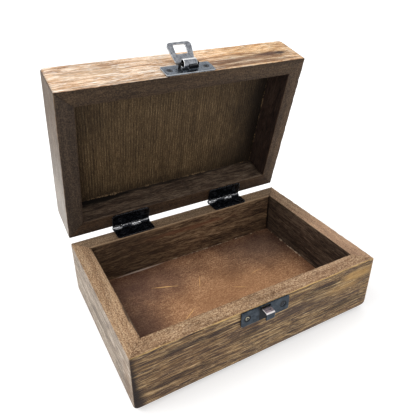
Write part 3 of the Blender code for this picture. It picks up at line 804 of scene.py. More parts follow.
def build_staple(material):
    """Round wire bent to a U, its bar on the hasp's axis and its legs back into the lid."""
    path = rounded(
        [
            (-STAPLE_HALF, STAPLE_END, 0.0),
            (-STAPLE_HALF, 0.0, STAPLE_BEND),
            (STAPLE_HALF, 0.0, STAPLE_BEND),
            (STAPLE_HALF, STAPLE_END, 0.0),
        ],
        8,
    )
    curve = bpy.data.curves.new("staple", "CURVE")
    curve.dimensions = "3D"
    curve.bevel_depth = STAPLE_RADIUS
    curve.bevel_resolution = 5
    curve.use_fill_caps = True
    spline = curve.splines.new("POLY")
    spline.points.add(len(path) - 1)
    for point, (x, y) in zip(spline.points, path):
        point.co = (x, y, 0.0, 1.0)
    mesh = evaluated_mesh(linked("staple", curve))
    rest = LID_REST @ Matrix.Translation(HASP_AXIS)
    attributes = edge_attributes(mesh, TURNED_EDGE)
    publish("hasp_staple", mesh, rest, "lid", material, attributes)


def build_hasp(material):
    """The strap with its window, rolled forward into an open barrel; modelled hanging down."""
    neck = BARREL_LENGTH / 2
    shoulder = -STRAP_SHOULDER_DROP
    outline = rounded(
        [
            (-neck, 0.0, 0.0),
            (-neck, shoulder, 0.0),
            (STRAP_OFFSET - STRAP_SHOULDER_HALF, shoulder, STRAP_SHOULDER_CORNER),
            (STRAP_OFFSET - STRAP_TIP_HALF - STRAP_TIP_SKEW, -STRAP_LENGTH, STRAP_CORNER),
            (STRAP_OFFSET + STRAP_TIP_HALF, -STRAP_LENGTH, STRAP_CORNER),
            (STRAP_OFFSET + STRAP_SHOULDER_HALF, shoulder, STRAP_SHOULDER_CORNER),
            (neck, shoulder, 0.0),
            (neck, 0.0, 0.0),
        ]
    )
    half = WINDOW_WIDTH / 2
    window_low_x = STRAP_OFFSET - half - WINDOW_SKEW
    window = rectangle(window_low_x, -WINDOW_FAR, STRAP_OFFSET + half, -WINDOW_NEAR, WINDOW_CORNER)
    move = Matrix.Translation((0, STRAP_THICKNESS / 2 - BARREL_RADIUS, 0))
    strap = slab([outline, window], STRAP_THICKNESS, move @ FACING_FRONT)
    roll = ring_section(BARREL_RADIUS, BARREL_RADIUS - BARREL_WALL, 180.0, -158.0, 40)
    barrel = drawn_along_x(roll[::-1], 0.0, BARREL_LENGTH)
    mesh = fused("hasp", [strap, barrel], HASP_VOXEL)
    highlight_facing = np.array(HASP_REST.to_3x3().inverted() @ HASP_HIGHLIGHT_DIRECTION)

    # Painted shade inside the barrel's bore
    def barrel_inside_shade(points, normals):
        radius = np.hypot(points[:, 1], points[:, 2])
        return (BARREL_RADIUS - 0.35 - radius) / 0.2

    # Painted highlight: a band along the barrel's top that faces the key light; the barrel's ends and the
    # strap's tip are brightened as rubbed edges
    def rubbed(points, normals):
        radius = np.hypot(points[:, 1], points[:, 2])
        on_barrel = (radius > BARREL_RADIUS - 0.3) & (radius < BARREL_RADIUS + 0.1)
        band = on_barrel * (normals @ highlight_facing - 0.9) / 0.07
        end = (np.abs(points[:, 0]) > BARREL_LENGTH / 2 - 0.25) & (radius < BARREL_RADIUS + 0.1)
        tip = np.clip((-points[:, 2] - STRAP_LENGTH + 1.1) / 0.3, 0, 1) * (normals[:, 1] < -0.5)
        return np.maximum(np.maximum(band, 0.8 * end), 0.8 * tip)

    # Painted shade: darkens the barrel next to its open seam
    def seam(points, normals):
        angle = np.degrees(np.arctan2(points[:, 2], points[:, 1]))
        near = (angle < -128.0) | (angle > 172.0)
        return near * (np.hypot(points[:, 1], points[:, 2]) < BARREL_RADIUS + 0.1) * (points[:, 2] < 0.2)

    attributes = edge_attributes(mesh, HASP_EDGE, barrel_inside_shade, rubbed, seam)
    publish("hasp", mesh, HASP_REST, "hasp", material, attributes)


# Materials

FAR = 1000.0

# An ellipse on a face: centre and half sizes in millimetres, turn in radians, colour as on a screen
Stain = namedtuple("Stain", "at size strength colour turn rough blur blend", defaults=(0.0, 1.0, 0.45, "MIX"))


class Shader:
    """Builds the node tree of one procedural material."""

    def __init__(self, name, metallic=0.0, specular=0.5):
        self.material = bpy.data.materials.new(name)
        self.material.use_nodes = True
        self.tree = self.material.node_tree
        self.principled = self.tree.nodes["Principled BSDF"]
        self.principled.inputs["Metallic"].default_value = metallic
        self.principled.inputs["Specular IOR Level"].default_value = specular

    def put(self, socket, value):
        if isinstance(value, bpy.types.NodeSocket):
            self.tree.links.new(value, socket)
        elif isinstance(value, tuple) and len(value) == 3 and socket.type == "RGBA":
            socket.default_value = (*value, 1.0)
        else:
            socket.default_value = value

    def attribute(self, name):
        node = self.tree.nodes.new("ShaderNodeAttribute")
        node.attribute_name = name
        return node.outputs["Vector"]

    def coordinates(self):
        return self.tree.nodes.new("ShaderNodeTexCoord").outputs["Object"]

    def split(self, vector):
        node = self.tree.nodes.new("ShaderNodeSeparateXYZ")
        self.put(node.inputs[0], vector)
        return node.outputs

    def mapped(self, vector, scale=(1.0, 1.0, 1.0), move=(0.0, 0.0, 0.0), turn=(0.0, 0.0, 0.0), kind="POINT"):
        node = self.tree.nodes.new("ShaderNodeMapping")
        node.vector_type = kind
        self.put(node.inputs["Vector"], vector)
        node.inputs["Location"].default_value = move
        node.inputs["Rotation"].default_value = turn
        node.inputs["Scale"].default_value = scale
        return node.outputs[0]

    def noise(self, vector, scale=1.0, detail=2.0, roughness=0.5, distortion=0.0, colour=False):
        node = self.tree.nodes.new("ShaderNodeTexNoise")
        self.put(node.inputs["Vector"], vector)
        node.inputs["Scale"].default_value = scale
        node.inputs["Detail"].default_value = detail
        node.inputs["Roughness"].default_value = roughness
        node.inputs["Distortion"].default_value = distortion
        return node.outputs["Color" if colour else "Fac"]

    def math(self, operation, first, second=0.0):
        node = self.tree.nodes.new("ShaderNodeMath")
        node.operation = operation
        self.put(node.inputs[0], first)
        self.put(node.inputs[1], second)
        return node.outputs[0]

    def times(self, first, second):
        return self.math("MULTIPLY", first, second)

    def plus(self, first, second):
        return self.math("ADD", first, second)

    def vector_math(self, operation, first, second=(0.0, 0.0, 0.0)):
        node = self.tree.nodes.new("ShaderNodeVectorMath")
        node.operation = operation
        self.put(node.inputs[0], first)
        self.put(node.inputs[1], second)
        return node.outputs["Value" if operation == "LENGTH" else "Vector"]

    def span(self, value, low, high, to_low=0.0, to_high=1.0):
        """A smooth step of the value between two levels."""
        node = self.tree.nodes.new("ShaderNodeMapRange")
        node.interpolation_type = "SMOOTHSTEP"
        self.put(node.inputs["Value"], value)
        node.inputs["From Min"].default_value = low
        node.inputs["From Max"].default_value = high
        node.inputs["To Min"].default_value = to_low
        node.inputs["To Max"].default_value = to_high
        return node.outputs[0]

    def mix(self, factor, first, second, blend="MIX"):
        node = self.tree.nodes.new("ShaderNodeMix")
        node.data_type = "RGBA"
        node.blend_type = blend
        self.put(node.inputs["Factor"], factor)
        self.put(node.inputs[6], first)
        self.put(node.inputs[7], second)
        return node.outputs[2]

    def ramp(self, factor, stops):
        """Colour by value: stops are (position, colour)."""
        node = self.tree.nodes.new("ShaderNodeValToRGB")
        self.put(node.inputs[0], factor)
        elements = node.color_ramp.elements
        while len(elements) < len(stops):
            elements.new(0.5)
        for element, (position, colour) in zip(elements, stops):
            element.position = position
            element.color = (*colour, 1.0)
        return node.outputs[0]

    def ellipse(self, place, stain, plane, rough):
        """1 inside a stain on a face in the given plane, fading to 0 with a ragged outline."""
        (u, v), (a, b) = stain.at, stain.size
        if plane == "xz":
            mapped = self.mapped(place, (a, FAR, b), (u, 0.0, v), (0.0, -stain.turn, 0.0), "TEXTURE")
        else:
            mapped = self.mapped(place, (a, b, FAR), (u, v, 0.0), (0.0, 0.0, stain.turn), "TEXTURE")
        distance = self.plus(self.vector_math("LENGTH", mapped), rough)
        return self.span(distance, 1.0 + stain.blur, 1.0 - stain.blur)

    def stained(self, base, place, stains, plane, ragged):
        """The base colour with stains laid over it."""
        for stain in stains:
            rough = self.times(ragged, stain.rough)
            mask = self.times(self.ellipse(place, stain, plane, rough), stain.strength)
            base = self.mix(mask, base, srgb(*stain.colour), stain.blend)
        return base

    def finish(self, colour, roughness, height=None, distance=0.0001, strength=1.0):
        self.put(self.principled.inputs["Base Color"], colour)
        self.put(self.principled.inputs["Roughness"], roughness)
        if height is not None:
            bump = self.tree.nodes.new("ShaderNodeBump")
            bump.inputs["Strength"].default_value = strength
            bump.inputs["Distance"].default_value = distance
            self.put(bump.inputs["Height"], height)
            self.put(self.principled.inputs["Normal"], bump.outputs[0])
        return self.material


def evenly(colours):
    """Ramp stops spread evenly over 0..1."""
    return [(i / (len(colours) - 1), colour) for i, colour in enumerate(colours)]


def contour(shader, level, width):
    """1 on the thin lines where a noise crosses its middle level."""
    return shader.span(shader.math("ABSOLUTE", shader.math("SUBTRACT", level, 0.5)), width, 0.0)


def wood_grain(shader, place, seed, fineness=(1.0, 1.0)):
    """Noise layers of a board, from slow bands to fine fibres, with pores, sand, patches and thin lines."""
    along, across = fineness
    moved = shader.mapped(place, move=(seed * 37.0, seed * 11.0, seed * 23.0))
    sway = shader.noise(shader.mapped(moved, (0.018, 0.03, 0.03)), colour=True)
    warped = shader.vector_math("ADD", moved, shader.vector_math("MULTIPLY", sway, (0.0, 5.0, 5.0)))

    def drawn(lengthwise, crosswise, detail, roughness, distortion=0.0, move=(0.0, 0.0, 0.0)):
        stretched = shader.mapped(warped, (lengthwise, crosswise, crosswise), move)
        return shader.noise(stretched, 1.0, detail, roughness, distortion)

    return {
        "bands": drawn(0.018, 0.24, 3.0, 0.55),
        "streaks": drawn(0.075 * along, 0.85 * across, 5.0, 0.72, 0.6 * along),
        "fibres": drawn(0.2 * along, 1.9 * across, 3.0, 0.75, 0.4 * along),
        "pores": drawn(0.3, 1.9, 2.0, 0.6),
        "sand": shader.noise(moved, 1.3, 4.0, 0.75),
        "cloud": shader.noise(moved, 0.05, 3.0, 0.55),
        "dark_lines": contour(shader, drawn(0.022, 0.42, 3.0, 0.6), 0.022),
        "light_lines": contour(shader, drawn(0.03, 0.5, 3.0, 0.6, move=(3.0, 8.0, 5.0)), 0.02),
    }


def weighted(shader, layers, weights, contrast=1.0):
    """A weighted sum of noise layers, stretched to fill 0..1."""
    total = None
    for key, weight in weights.items():
        term = shader.times(layers[key], weight)
        total = term if total is None else shader.plus(total, term)
    middle = 0.5 * sum(weights.values())
    spread = 0.5 * math.sqrt(sum(w * w for w in weights.values())) * 0.52 / contrast
    return shader.span(total, middle - spread, middle + spread)


def centred(shader, level, gain):
    """A noise about zero, to make outlines ragged."""
    return shader.times(shader.math("SUBTRACT", level, 0.5), gain)


def grained(shader, tone, layers, strengths, colours):
    """A ramp of colours by tone, with thin dark and light lines of grain in its end colours."""
    dark = shader.times(layers["dark_lines"], strengths[0])
    light = shader.times(layers["light_lines"], strengths[1])
    base = shader.mix(dark, shader.ramp(tone, evenly(colours)), colours[0])
    return shader.mix(light, base, colours[-1])


def aged(shader, colour, layers, fleck, pores, patches):
    """Dark pores, then broad lighter and darker patches."""
    colour = shader.mix(shader.times(fleck, pores), colour, PORE_COLOUR, "MULTIPLY")
    return shader.mix(1.0, colour, shader.span(layers["cloud"], 0.32, 0.68, *patches), "MULTIPLY")


def wood_material(name, look, seed):
    """Outer face, rim, inner face and foot of a wall board."""
    shader = Shader(name, specular=0.2)
    place = shader.attribute("place")
    zone = shader.split(shader.attribute("zone"))
    wear = shader.split(shader.attribute("wear"))
    layers = wood_grain(shader, place, seed, look["fineness"])
    ragged = centred(shader, layers["streaks"], 2.4)

    outer_tone = weighted(shader, layers, OUTER_MIX, look["contrast"])
    outer = grained(shader, outer_tone, layers, look["lines"], look["outer"])
    outer = shader.stained(outer, place, look["spots"], "xz", ragged)
    rim_tone = weighted(shader, layers, {"sand": 1.0, "bands": 0.35})
    rim = grained(shader, rim_tone, layers, (0.4, 0.3), look["rim"])
    rim = shader.stained(rim, place, look["rim_spots"], "xy", ragged)
    inner_tone = weighted(shader, layers, {"bands": 0.5, "streaks": 1.0, "fibres": 1.0}, 1.2)
    inner = grained(shader, inner_tone, layers, (0.45, 0.35), look["inner"])
    inner = shader.stained(inner, place, look["inner_spots"], "xz", ragged)
    under_tone = outer_tone if look["grained_foot"] else shader.span(layers["bands"], 0.3, 0.7)
    under = shader.ramp(under_tone, evenly(look["foot"]))

    colour = shader.mix(shader.span(zone[0], 0.62, 0.98), under, outer)
    colour = shader.mix(shader.span(zone[1], 0.15, 0.9), colour, rim)
    colour = shader.mix(shader.span(zone[2], 0.15, 0.9), colour, inner)
    fleck = shader.span(layers["pores"], 0.6, 0.7)
    colour = aged(shader, colour, layers, fleck, look["pores"], (0.86, 1.12))
    rubbed = shader.times(wear[0], shader.span(layers["streaks"], 0.43, 0.6))
    for worn, kind in ((rubbed, "edge"), (wear[1], "inner_edge"), (wear[2], "corner")):
        strength = shader.times(worn, look[f"{kind}_strength"])
        colour = shader.mix(strength, colour, look[kind])

    roughness = shader.span(layers["streaks"], 0.3, 0.7, 0.58, 0.78)
    height = shader.plus(layers["fibres"], shader.times(layers["streaks"], 0.8))
    height = shader.math("SUBTRACT", height, shader.times(fleck, 0.5))
    height = shader.plus(height, shader.times(layers["sand"], 0.7))
    return shader.finish(colour, roughness, height, 0.00022, 0.8)


def panel_material(name, look, seed):
    """Inner face, outer face and glue line of a panel."""
    shader = Shader(name, specular=0.2)
    place = shader.attribute("place")
    zone = shader.split(shader.attribute("zone"))
    wear = shader.split(shader.attribute("wear"))
    swapped = shader.mapped(place, turn=(0.0, 0.0, math.pi / 2)) if look["cross_grain"] else place
    layers = wood_grain(shader, swapped, seed)
    outer_layers = wood_grain(shader, place, seed + 3)

    inner = shader.ramp(weighted(shader, layers, look["inner_mix"]), evenly(look["inner"]))
    inner = shader.stained(inner, place, look["spots"], "xy", centred(shader, layers["cloud"], 1.6))
    inner = shader.stained(inner, place, look["scratches"], "xy", centred(shader, layers["fibres"], 1.8))
    # Darker in the rib grooves
    inner = shader.mix(shader.times(wear[2], look["rib_groove_darkening"]), inner, look["groove_dark"])
    # Painted shade near the walls, where the panel meets them
    inner = shader.mix(shader.times(wear[1], 0.9), inner, look["border"], "MULTIPLY")
    lint = shader.span(shader.times(wear[0], shader.span(layers["sand"], 0.4, 0.6)), 0.05, 0.5)
    inner = shader.mix(lint, inner, look["glue"])
    outer_tone = weighted(shader, outer_layers, {"bands": 0.8, "streaks": 1.0, "fibres": 0.4})
    outer = shader.ramp(outer_tone, evenly(look["outer"]))

    fleck = shader.span(layers["pores"], 0.6, 0.7)
    colour = aged(shader, shader.mix(zone[0], inner, outer), layers, fleck, 0.3, (0.9, 1.08))
    roughness = shader.span(layers["streaks"], 0.3, 0.7, 0.6, 0.8)
    height = shader.plus(layers["fibres"], shader.times(layers["sand"], 0.8))
    return shader.finish(colour, roughness, height, 0.0002, 0.8)


def metal_material(name, look):
    """Blackened steel: blotchy finish, bright where the edges have rubbed and where highlights are painted,
    with painted shade in the hollows and a painted light mask in its own colour.
    """
    shader = Shader(name, metallic=look["metallic"], specular=0.5)
    place = shader.attribute("place")
    wear = shader.split(shader.attribute("wear"))
    blotch = shader.noise(place, 0.5, 3.0, 0.6)
    speck = shader.noise(place, 2.2, 3.0, 0.6)
    scuff = shader.noise(shader.mapped(place, (0.5, 3.0, 3.0), turn=(0.3, 0.5, 0.4)), 1.0, 3.0, 0.6)
    tone = shader.plus(shader.times(blotch, 0.65), shader.times(speck, 0.35))
    colour = shader.ramp(shader.span(tone, 0.3, 0.7), evenly(look["plate"]))
    edge = shader.plus(wear[0], centred(shader, scuff, 0.5))
    rubbed = shader.times(shader.span(edge, *look["wear_span"]), look["wear_strength"])
    colour = shader.mix(rubbed, colour, look["bright"])
    scratch = shader.times(shader.span(scuff, 0.62, 0.7), look["scratches"])
    colour = shader.mix(scratch, colour, look["bright"])
    # Painted light: the picked-out mask in its own colour, a highlight on knuckles and tongue, shade in and
    # under the barrel
    painted_light_mask = shader.times(wear[2], shader.span(scuff, *look["painted_light_span"]))
    colour = shader.mix(painted_light_mask, colour, look["painted_light"])
    colour = shader.mix(shader.times(rubbed, wear[2]), colour, look["bright"])
    # Painted shade in the hollows and on the parts picked out as shaded
    colour = shader.mix(shader.times(wear[1], 0.85), colour, look["hollow_shade"])
    rough = shader.span(tone, 0.35, 0.65, *look["roughness"])
    return shader.finish(colour, rough, shader.plus(speck, blotch), 0.00004, look["relief"])


# Looks. Colours given to toned and to Stain are screen colours, 0 to 255; all others are linear


def srgb(red, green, blue):
    """A screen colour, 0 to 255, as a linear colour."""

    def linear(value):
        value /= 255.0
        return value / 12.92 if value <= 0.04045 else ((value + 0.055) / 1.055) ** 2.4

    return (linear(red), linear(green), linear(blue))


def toned(colours, gain):
    """A ramp of screen colours made linear, its channels scaled."""
    return [tuple(channel * g for channel, g in zip(srgb(*colour), gain)) for colour in colours]


PORE_COLOUR = srgb(70, 52, 40)
DARK_EDGE = srgb(46, 32, 24)

RIM = toned([(92, 62, 40), (142, 104, 70), (190, 150, 106), (232, 196, 150)], (0.93, 1.03, 1.25))
# The back rim, darker: painted shade of the open lid standing over it
BACK_RIM_SHADED = toned([(66, 46, 32), (108, 82, 60), (146, 114, 86), (184, 152, 120)], (1.08, 1.22, 1.32))
RIM_RIGHT = toned([(84, 58, 40), (130, 96, 68), (170, 132, 96), (210, 172, 132)], (1.15, 1.25, 1.45))
# The lid's rims: one grey-brown stain, its copies scaled lighter or darker side by side as painted light and
# shade
RIM_GREY = [(56, 43, 34), (90, 72, 56), (124, 102, 80), (164, 138, 110)]
LID_RIM = toned(RIM_GREY, (0.34, 0.32, 0.30))
LID_RIM_SHADED_LEFT = toned(RIM_GREY, (0.25, 0.25, 0.27))
LID_RIM_LIT_RIGHT = toned(RIM_GREY, (0.47, 0.45, 0.44))
LID_RIM_SHADED_BACK = toned(RIM_GREY, (0.29, 0.24, 0.2))
# Inner walls, scaled darker wall by wall: the darkening is painted shade inside the box, deepest on the right
# walls
BROWN = [(44, 30, 20), (88, 62, 42), (134, 100, 68), (182, 144, 102)]
INNER = toned(BROWN, (0.72, 0.80, 0.95))
BASE_INNER_SHADED_RIGHT = toned(BROWN, (0.35, 0.42, 0.61))
INNER_RED = toned([(42, 26, 20), (86, 60, 44), (130, 96, 72), (170, 134, 104)], (0.54, 0.69, 0.84))
LID_INNER_SHADED_RIGHT = toned([(40, 24, 18), (86, 54, 40), (128, 84, 62), (164, 118, 90)], (0.20, 0.27, 0.35))
FRONT = toned(
    [(48, 34, 28), (86, 64, 46), (128, 98, 58), (176, 140, 78), (240, 206, 132)],
    (0.69, 0.71, 1.03),
)
# The base's left outer face: pale and grey, painted as lit by a cool light from the left
LEFT_OUTER_LIT = toned([(84, 72, 64), (144, 130, 114), (186, 172, 152), (226, 214, 196)], (0.81, 0.79, 0.81))
LID_SIDE = toned([(76, 64, 56), (134, 120, 106), (184, 170, 154), (232, 222, 208)], (0.33, 0.31, 0.30))
BACK = toned([(52, 38, 34), (100, 76, 56), (148, 114, 74), (200, 164, 108)], (0.8, 0.8, 0.9))
LID_TOP_EDGE = toned([(104, 66, 44), (186, 138, 94), (232, 192, 146), (255, 238, 210)], (1.08, 1.18, 1.42))
FOOT = toned([(74, 56, 46), (98, 76, 60), (118, 94, 74)], (0.9, 0.9, 0.95))
BURN = (36, 26, 23)
SCRATCH = (240, 190, 124)

OUTER_MIX = {"bands": 0.45, "streaks": 1.0, "fibres": 1.1}

COMMON = {
    "outer": BACK,
    "rim": RIM,
    "inner": INNER,
    "foot": FOOT,
    "grained_foot": False,
    "fineness": (1.0, 1.0),
    "contrast": 1.2,
    "lines": (0.5, 0.35),
    "pores": 0.45,
    "spots": (),
    "rim_spots": (),
    "inner_spots": (),
    "edge": srgb(214, 178, 116),
    "edge_strength": 0.75,
    "inner_edge": DARK_EDGE,
    "inner_edge_strength": 0.35,
    "corner": DARK_EDGE,
    "corner_strength": 0.5,
}

FRONT_SPOTS = (
    Stain((-76.4, 10.0), (3.2, 34.0), 0.95, BURN, rough=0.3),
    Stain((-75.0, 4.0), (5.2, 14.0), 0.9, BURN, rough=0.4),
    Stain((76.0, 20.0), (0.9, 40.0), 0.7, (180, 140, 100)),
    Stain((64.0, 31.0), (11.0, 3.0), 0.6, (190, 150, 90)),
    Stain((52.0, 25.0), (12.0, 2.2), 0.5, (176, 138, 84)),
    Stain((60.0, 12.0), (16.0, 3.2), 0.6, BURN),
    Stain((26.0, 24.0), (22.0, 4.0), 0.6, (58, 44, 42), blur=0.7),
    Stain((-8.0, 20.0), (14.0, 2.0), 0.4, BURN, blur=0.7),
    Stain((0.0, 12.0), (24.0, 12.0), 0.8, (44, 37, 28), blur=0.9, blend="ADD"),
    Stain((44.0, 18.0), (16.0, 2.4), 0.5, (60, 46, 44), blur=0.7),
    Stain((38.0, 31.0), (14.0, 2.0), 0.55, BURN),
    Stain((-40.0, 31.5), (26.0, 1.6), 0.5, BURN),
    Stain((-52.0, 13.0), (18.0, 2.4), 0.45, BURN),
    Stain((-46.0, 18.0), (30.0, 18.0), 0.5, (214, 200, 206), blur=0.9, blend="MULTIPLY"),
)
LID_FRONT_SPOTS = (
    Stain((52.0, 12.0), (40.0, 22.0), 0.75, (255, 236, 198), blur=0.9, blend="MULTIPLY"),
    Stain((38.0, 20.5), (30.0, 3.8), 0.75, (100, 70, 56), blur=0.6),
    Stain((40.0, 26.0), (32.0, 1.8), 0.7, (96, 64, 46)),
    Stain((58.0, 18.0), (12.0, 1.8), 0.8, (84, 56, 46)),
    Stain((22.0, 22.0), (14.0, 1.6), 0.6, (104, 72, 52)),
    Stain((64.5, 18.5), (3.2, 1.5), 0.85, (60, 44, 40)),
    Stain((30.0, 15.0), (22.0, 1.4), 0.55, (126, 86, 56)),
    Stain((-20.0, 27.5), (50.0, 0.8), 0.5, (106, 74, 52)),
    Stain((-55.0, 15.0), (20.0, 4.0), 0.3, (236, 208, 176)),
)
# The lid's left face: painted shade towards its front edge and a painted glare towards the hinge end
LID_SIDE_LIGHT_AND_SHADE = (
    Stain((44.0, 14.0), (40.0, 40.0), 0.45, (120, 104, 90), blur=0.95),
    Stain((-52.0, 14.0), (44.0, 40.0), 0.5, (206, 198, 190), blur=0.95),
)
# The lid's inner back wall: a painted shadow in its left corner by the panel, and painted shade along the
# panel's junction
LID_BACK_SHADE_SPOTS = (
    Stain((54.0, 12.5), (22.0, 4.5), 0.95, (14, 10, 8)),
    Stain((10.0, 11.5), (60.0, 1.6), 0.7, (20, 14, 11)),
)
INNER_BACK_SPOTS = (
    Stain((0.0, 31.0), (30.0, 1.6), 0.5, (130, 86, 62)),
    Stain((50.0, 22.0), (34.0, 30.0), 0.5, (40, 28, 20), blur=0.95),
    Stain((-65.8, 24.0), (0.8, 16.0), 0.95, (12, 8, 6)),
)
SIDE_SPOTS = (
    Stain((44.0, 14.0), (5.0, 16.0), 0.5, (116, 88, 64)),
    Stain((10.0, 20.0), (26.0, 2.0), 0.4, (108, 92, 78)),
    Stain((20.0, 4.6), (70.0, 0.9), 0.6, (108, 82, 58)),
)

FRONT_RIM_SPOTS = (
    Stain((44.0, 5.0), (36.0, 12.0), 0.6, (236, 230, 230), blur=0.9, blend="MULTIPLY"),
)
LEFT_RIM_SPOTS = (
    Stain((27.0, 10.2), (15.0, 1.7), 0.85, (58, 42, 34), blur=0.25),
)
# The right rim: painted light towards the front and painted shade towards the back, under the open lid
RIGHT_RIM_LIGHT_AND_SHADE = (
    Stain((-24.0, 5.0), (26.0, 12.0), 0.3, (212, 172, 142), blur=0.9),
    Stain((26.0, 5.0), (24.0, 12.0), 0.6, (226, 236, 238), blur=0.9, blend="MULTIPLY"),
)
BASE_LOOKS = {
    "front": {
        **COMMON,
        "rim_spots": FRONT_RIM_SPOTS,
        "outer": FRONT,
        "fineness": (0.5, 1.35),
        "spots": FRONT_SPOTS,
        "corner_strength": 0.0,
        "lines": (0.7, 0.6),
        "edge": srgb(226, 188, 120),
        "edge_strength": 0.85,
    },
    "left": {
        **COMMON,
        "outer": LEFT_OUTER_LIT,
        "spots": SIDE_SPOTS,
        "rim_spots": LEFT_RIM_SPOTS,
        "corner": srgb(112, 88, 68),
        "foot": LEFT_OUTER_LIT,
        "edge_strength": 0.15,
    },
    "right": {
        **COMMON,
        "rim": RIM_RIGHT,
        "rim_spots": RIGHT_RIM_LIGHT_AND_SHADE,
        "inner": BASE_INNER_SHADED_RIGHT,
        "corner": srgb(150, 120, 90),
    },
    "back": {
        **COMMON,
        "rim": BACK_RIM_SHADED,
        "edge_strength": 0.3,
        "inner_spots": INNER_BACK_SPOTS,
        "inner_edge": srgb(178, 148, 116),
        "inner_edge_strength": 0.75,
    },
}
LID_COMMON = {
    **COMMON,
    "rim": LID_RIM,
    "inner": INNER_RED,
    "edge": srgb(104, 86, 70),
    "edge_strength": 0.3,
    "foot": BACK,
    "grained_foot": True,
}
LID_LOOKS = {
    "front": {
        **LID_COMMON,
        "outer": LID_TOP_EDGE,
        "fineness": (0.55, 1.3),
        "lines": (0.6, 0.7),
        "contrast": 1.35,
        "spots": LID_FRONT_SPOTS,
        "edge": srgb(58, 42, 33),
        "edge_strength": 0.7,
        "pores": 0.3,
    },
    "left": {
        **LID_COMMON,
        "rim": LID_RIM_SHADED_LEFT,
        "outer": LID_SIDE,
        "lines": (0.8, 0.6),
        "spots": LID_SIDE_LIGHT_AND_SHADE,
    },
    "right": {**LID_COMMON, "rim": LID_RIM_LIT_RIGHT, "inner": LID_INNER_SHADED_RIGHT},
    "back": {**LID_COMMON, "rim": LID_RIM_SHADED_BACK, "inner_spots": LID_BACK_SHADE_SPOTS},
}
FLOOR_LOOK = {
    "cross_grain": False,
    "inner_mix": {"sand": 1.0, "cloud": 0.15, "fibres": 0.5},
    "inner": toned([(84, 52, 38), (132, 88, 62), (170, 124, 90), (212, 168, 128)], (1.32, 1.46, 1.52)),
    "outer": BACK,
    # painted shade near the walls: its colour and reach
    "border": (0.42, 0.37, 0.38),
    "wall_shade_reach": 8.0,
    "rib_groove_darkening": 0.0,
    "groove_dark": DARK_EDGE,
    "glue": srgb(206, 182, 154),
    # Painted light over the middle, painted shade towards the back and along the left wall
    "spots": (
        Stain((12.0, -12.0), (46.0, 22.0), 0.5, (186, 134, 92), blur=0.9),
        Stain((50.0, 22.0), (26.0, 16.0), 0.6, (78, 66, 66), blur=0.9),
        Stain((-48.0, 26.0), (28.0, 14.0), 0.42, (96, 66, 58), blur=0.9),
        Stain((-58.0, -6.0), (15.0, 30.0), 0.6, (90, 68, 68), blur=0.8),
        Stain((-36.0, 22.0), (26.0, 14.0), 0.35, (108, 82, 76), blur=0.8),
    ),
    "scratches": (
        Stain((-37.0, 39.5), (14.0, 0.7), 1.0, (255, 236, 214)),
        Stain((6.0, 39.6), (20.0, 0.4), 0.8, (150, 122, 104)),
        Stain((-29.3, 16.6), (6.8, 0.4), 0.95, SCRATCH, turn=-0.36),
        Stain((-26.0, -12.0), (5.0, 0.3), 0.7, SCRATCH, turn=0.6),
        Stain((12.0, -6.0), (4.0, 0.3), 0.7, SCRATCH, turn=-0.5),
        Stain((-8.0, 10.0), (5.0, 0.3), 0.6, SCRATCH, turn=1.1),
        Stain((30.0, 2.0), (4.0, 0.25), 0.6, SCRATCH, turn=0.2),
    ),
}
TOP_LOOK = {
    "cross_grain": True,
    "inner_mix": {"bands": 0.25, "fibres": 0.8, "sand": 0.8},
    "inner": toned([(52, 40, 26), (92, 74, 50), (126, 104, 74), (166, 144, 108)], (0.64, 0.62, 0.61)),
    # Painted shade along the right edge beside the right wall, and a faint darker patch near the left
    "spots": (
        Stain((66.0, 0.0), (22.0, 70.0), 0.7, (32, 24, 18), blur=0.95),
        Stain((66.0, 0.0), (9.0, 70.0), 0.6, (22, 16, 12), blur=0.9),
        Stain((-58.0, -30.0), (16.0, 30.0), 0.3, (44, 34, 24), blur=0.95),
    ),
    "scratches": (),
    "outer": BACK,
    # painted shade near the walls: its colour and reach
    "border": (0.45, 0.42, 0.42),
    "wall_shade_reach": 6.0,
    "rib_groove_darkening": 0.85,
    "groove_dark": srgb(34, 26, 18),
    "glue": srgb(116, 94, 68),
}

HINGE_LOOK = {
    "metallic": 0.9,
    "plate": [srgb(17, 17, 21), srgb(35, 37, 43), srgb(64, 68, 75)],
    "bright": srgb(190, 192, 198),
    "hollow_shade": srgb(10, 10, 12),
    # white of the painted highlight on the knuckles
    "painted_light": srgb(250, 250, 252),
    "painted_light_span": (0.46, 0.54),
    "wear_span": (0.4, 0.9),
    "wear_strength": 0.6,
    "scratches": 0.12,
    "roughness": (0.2, 0.38),
    "relief": 0.3,
}
CATCH_LOOK = {
    **HINGE_LOOK,
    "plate": [srgb(30, 37, 44), srgb(50, 59, 68), srgb(74, 83, 92)],
    "bright": srgb(240, 234, 232),
    # pinkish painted highlight on the tongue's top
    "painted_light": srgb(158, 142, 146),
    "painted_light_span": (0.34, 0.6),
    "wear_span": (0.35, 0.7),
    "wear_strength": 0.92,
    "scratches": 0.06,
    "roughness": (0.3, 0.5),
}
HASP_LOOK = {
    **HINGE_LOOK,
    "plate": [srgb(108, 110, 116), srgb(138, 141, 147), srgb(172, 175, 180)],
    "bright": srgb(255, 255, 255),
    "hollow_shade": srgb(24, 24, 28),
    # near black: painted shade inside the barrel
    "painted_light": srgb(12, 12, 14),
    "painted_light_span": (-1.0, 0.0),
    "wear_span": (0.3, 0.65),
    "wear_strength": 0.95,
    "roughness": (0.22, 0.38),
}
HASP_PLATE_LOOK = {
    **HASP_LOOK,
    "plate": [srgb(84, 90, 99), srgb(112, 120, 130), srgb(142, 150, 159)],
    # near black: painted shade on the lip
    "painted_light": srgb(18, 19, 22),
}
NAIL_LOOK = {
    **HINGE_LOOK,
    "plate": [srgb(24, 26, 31), srgb(42, 44, 50), srgb(66, 68, 74)],
    "wear_strength": 0.35,
}
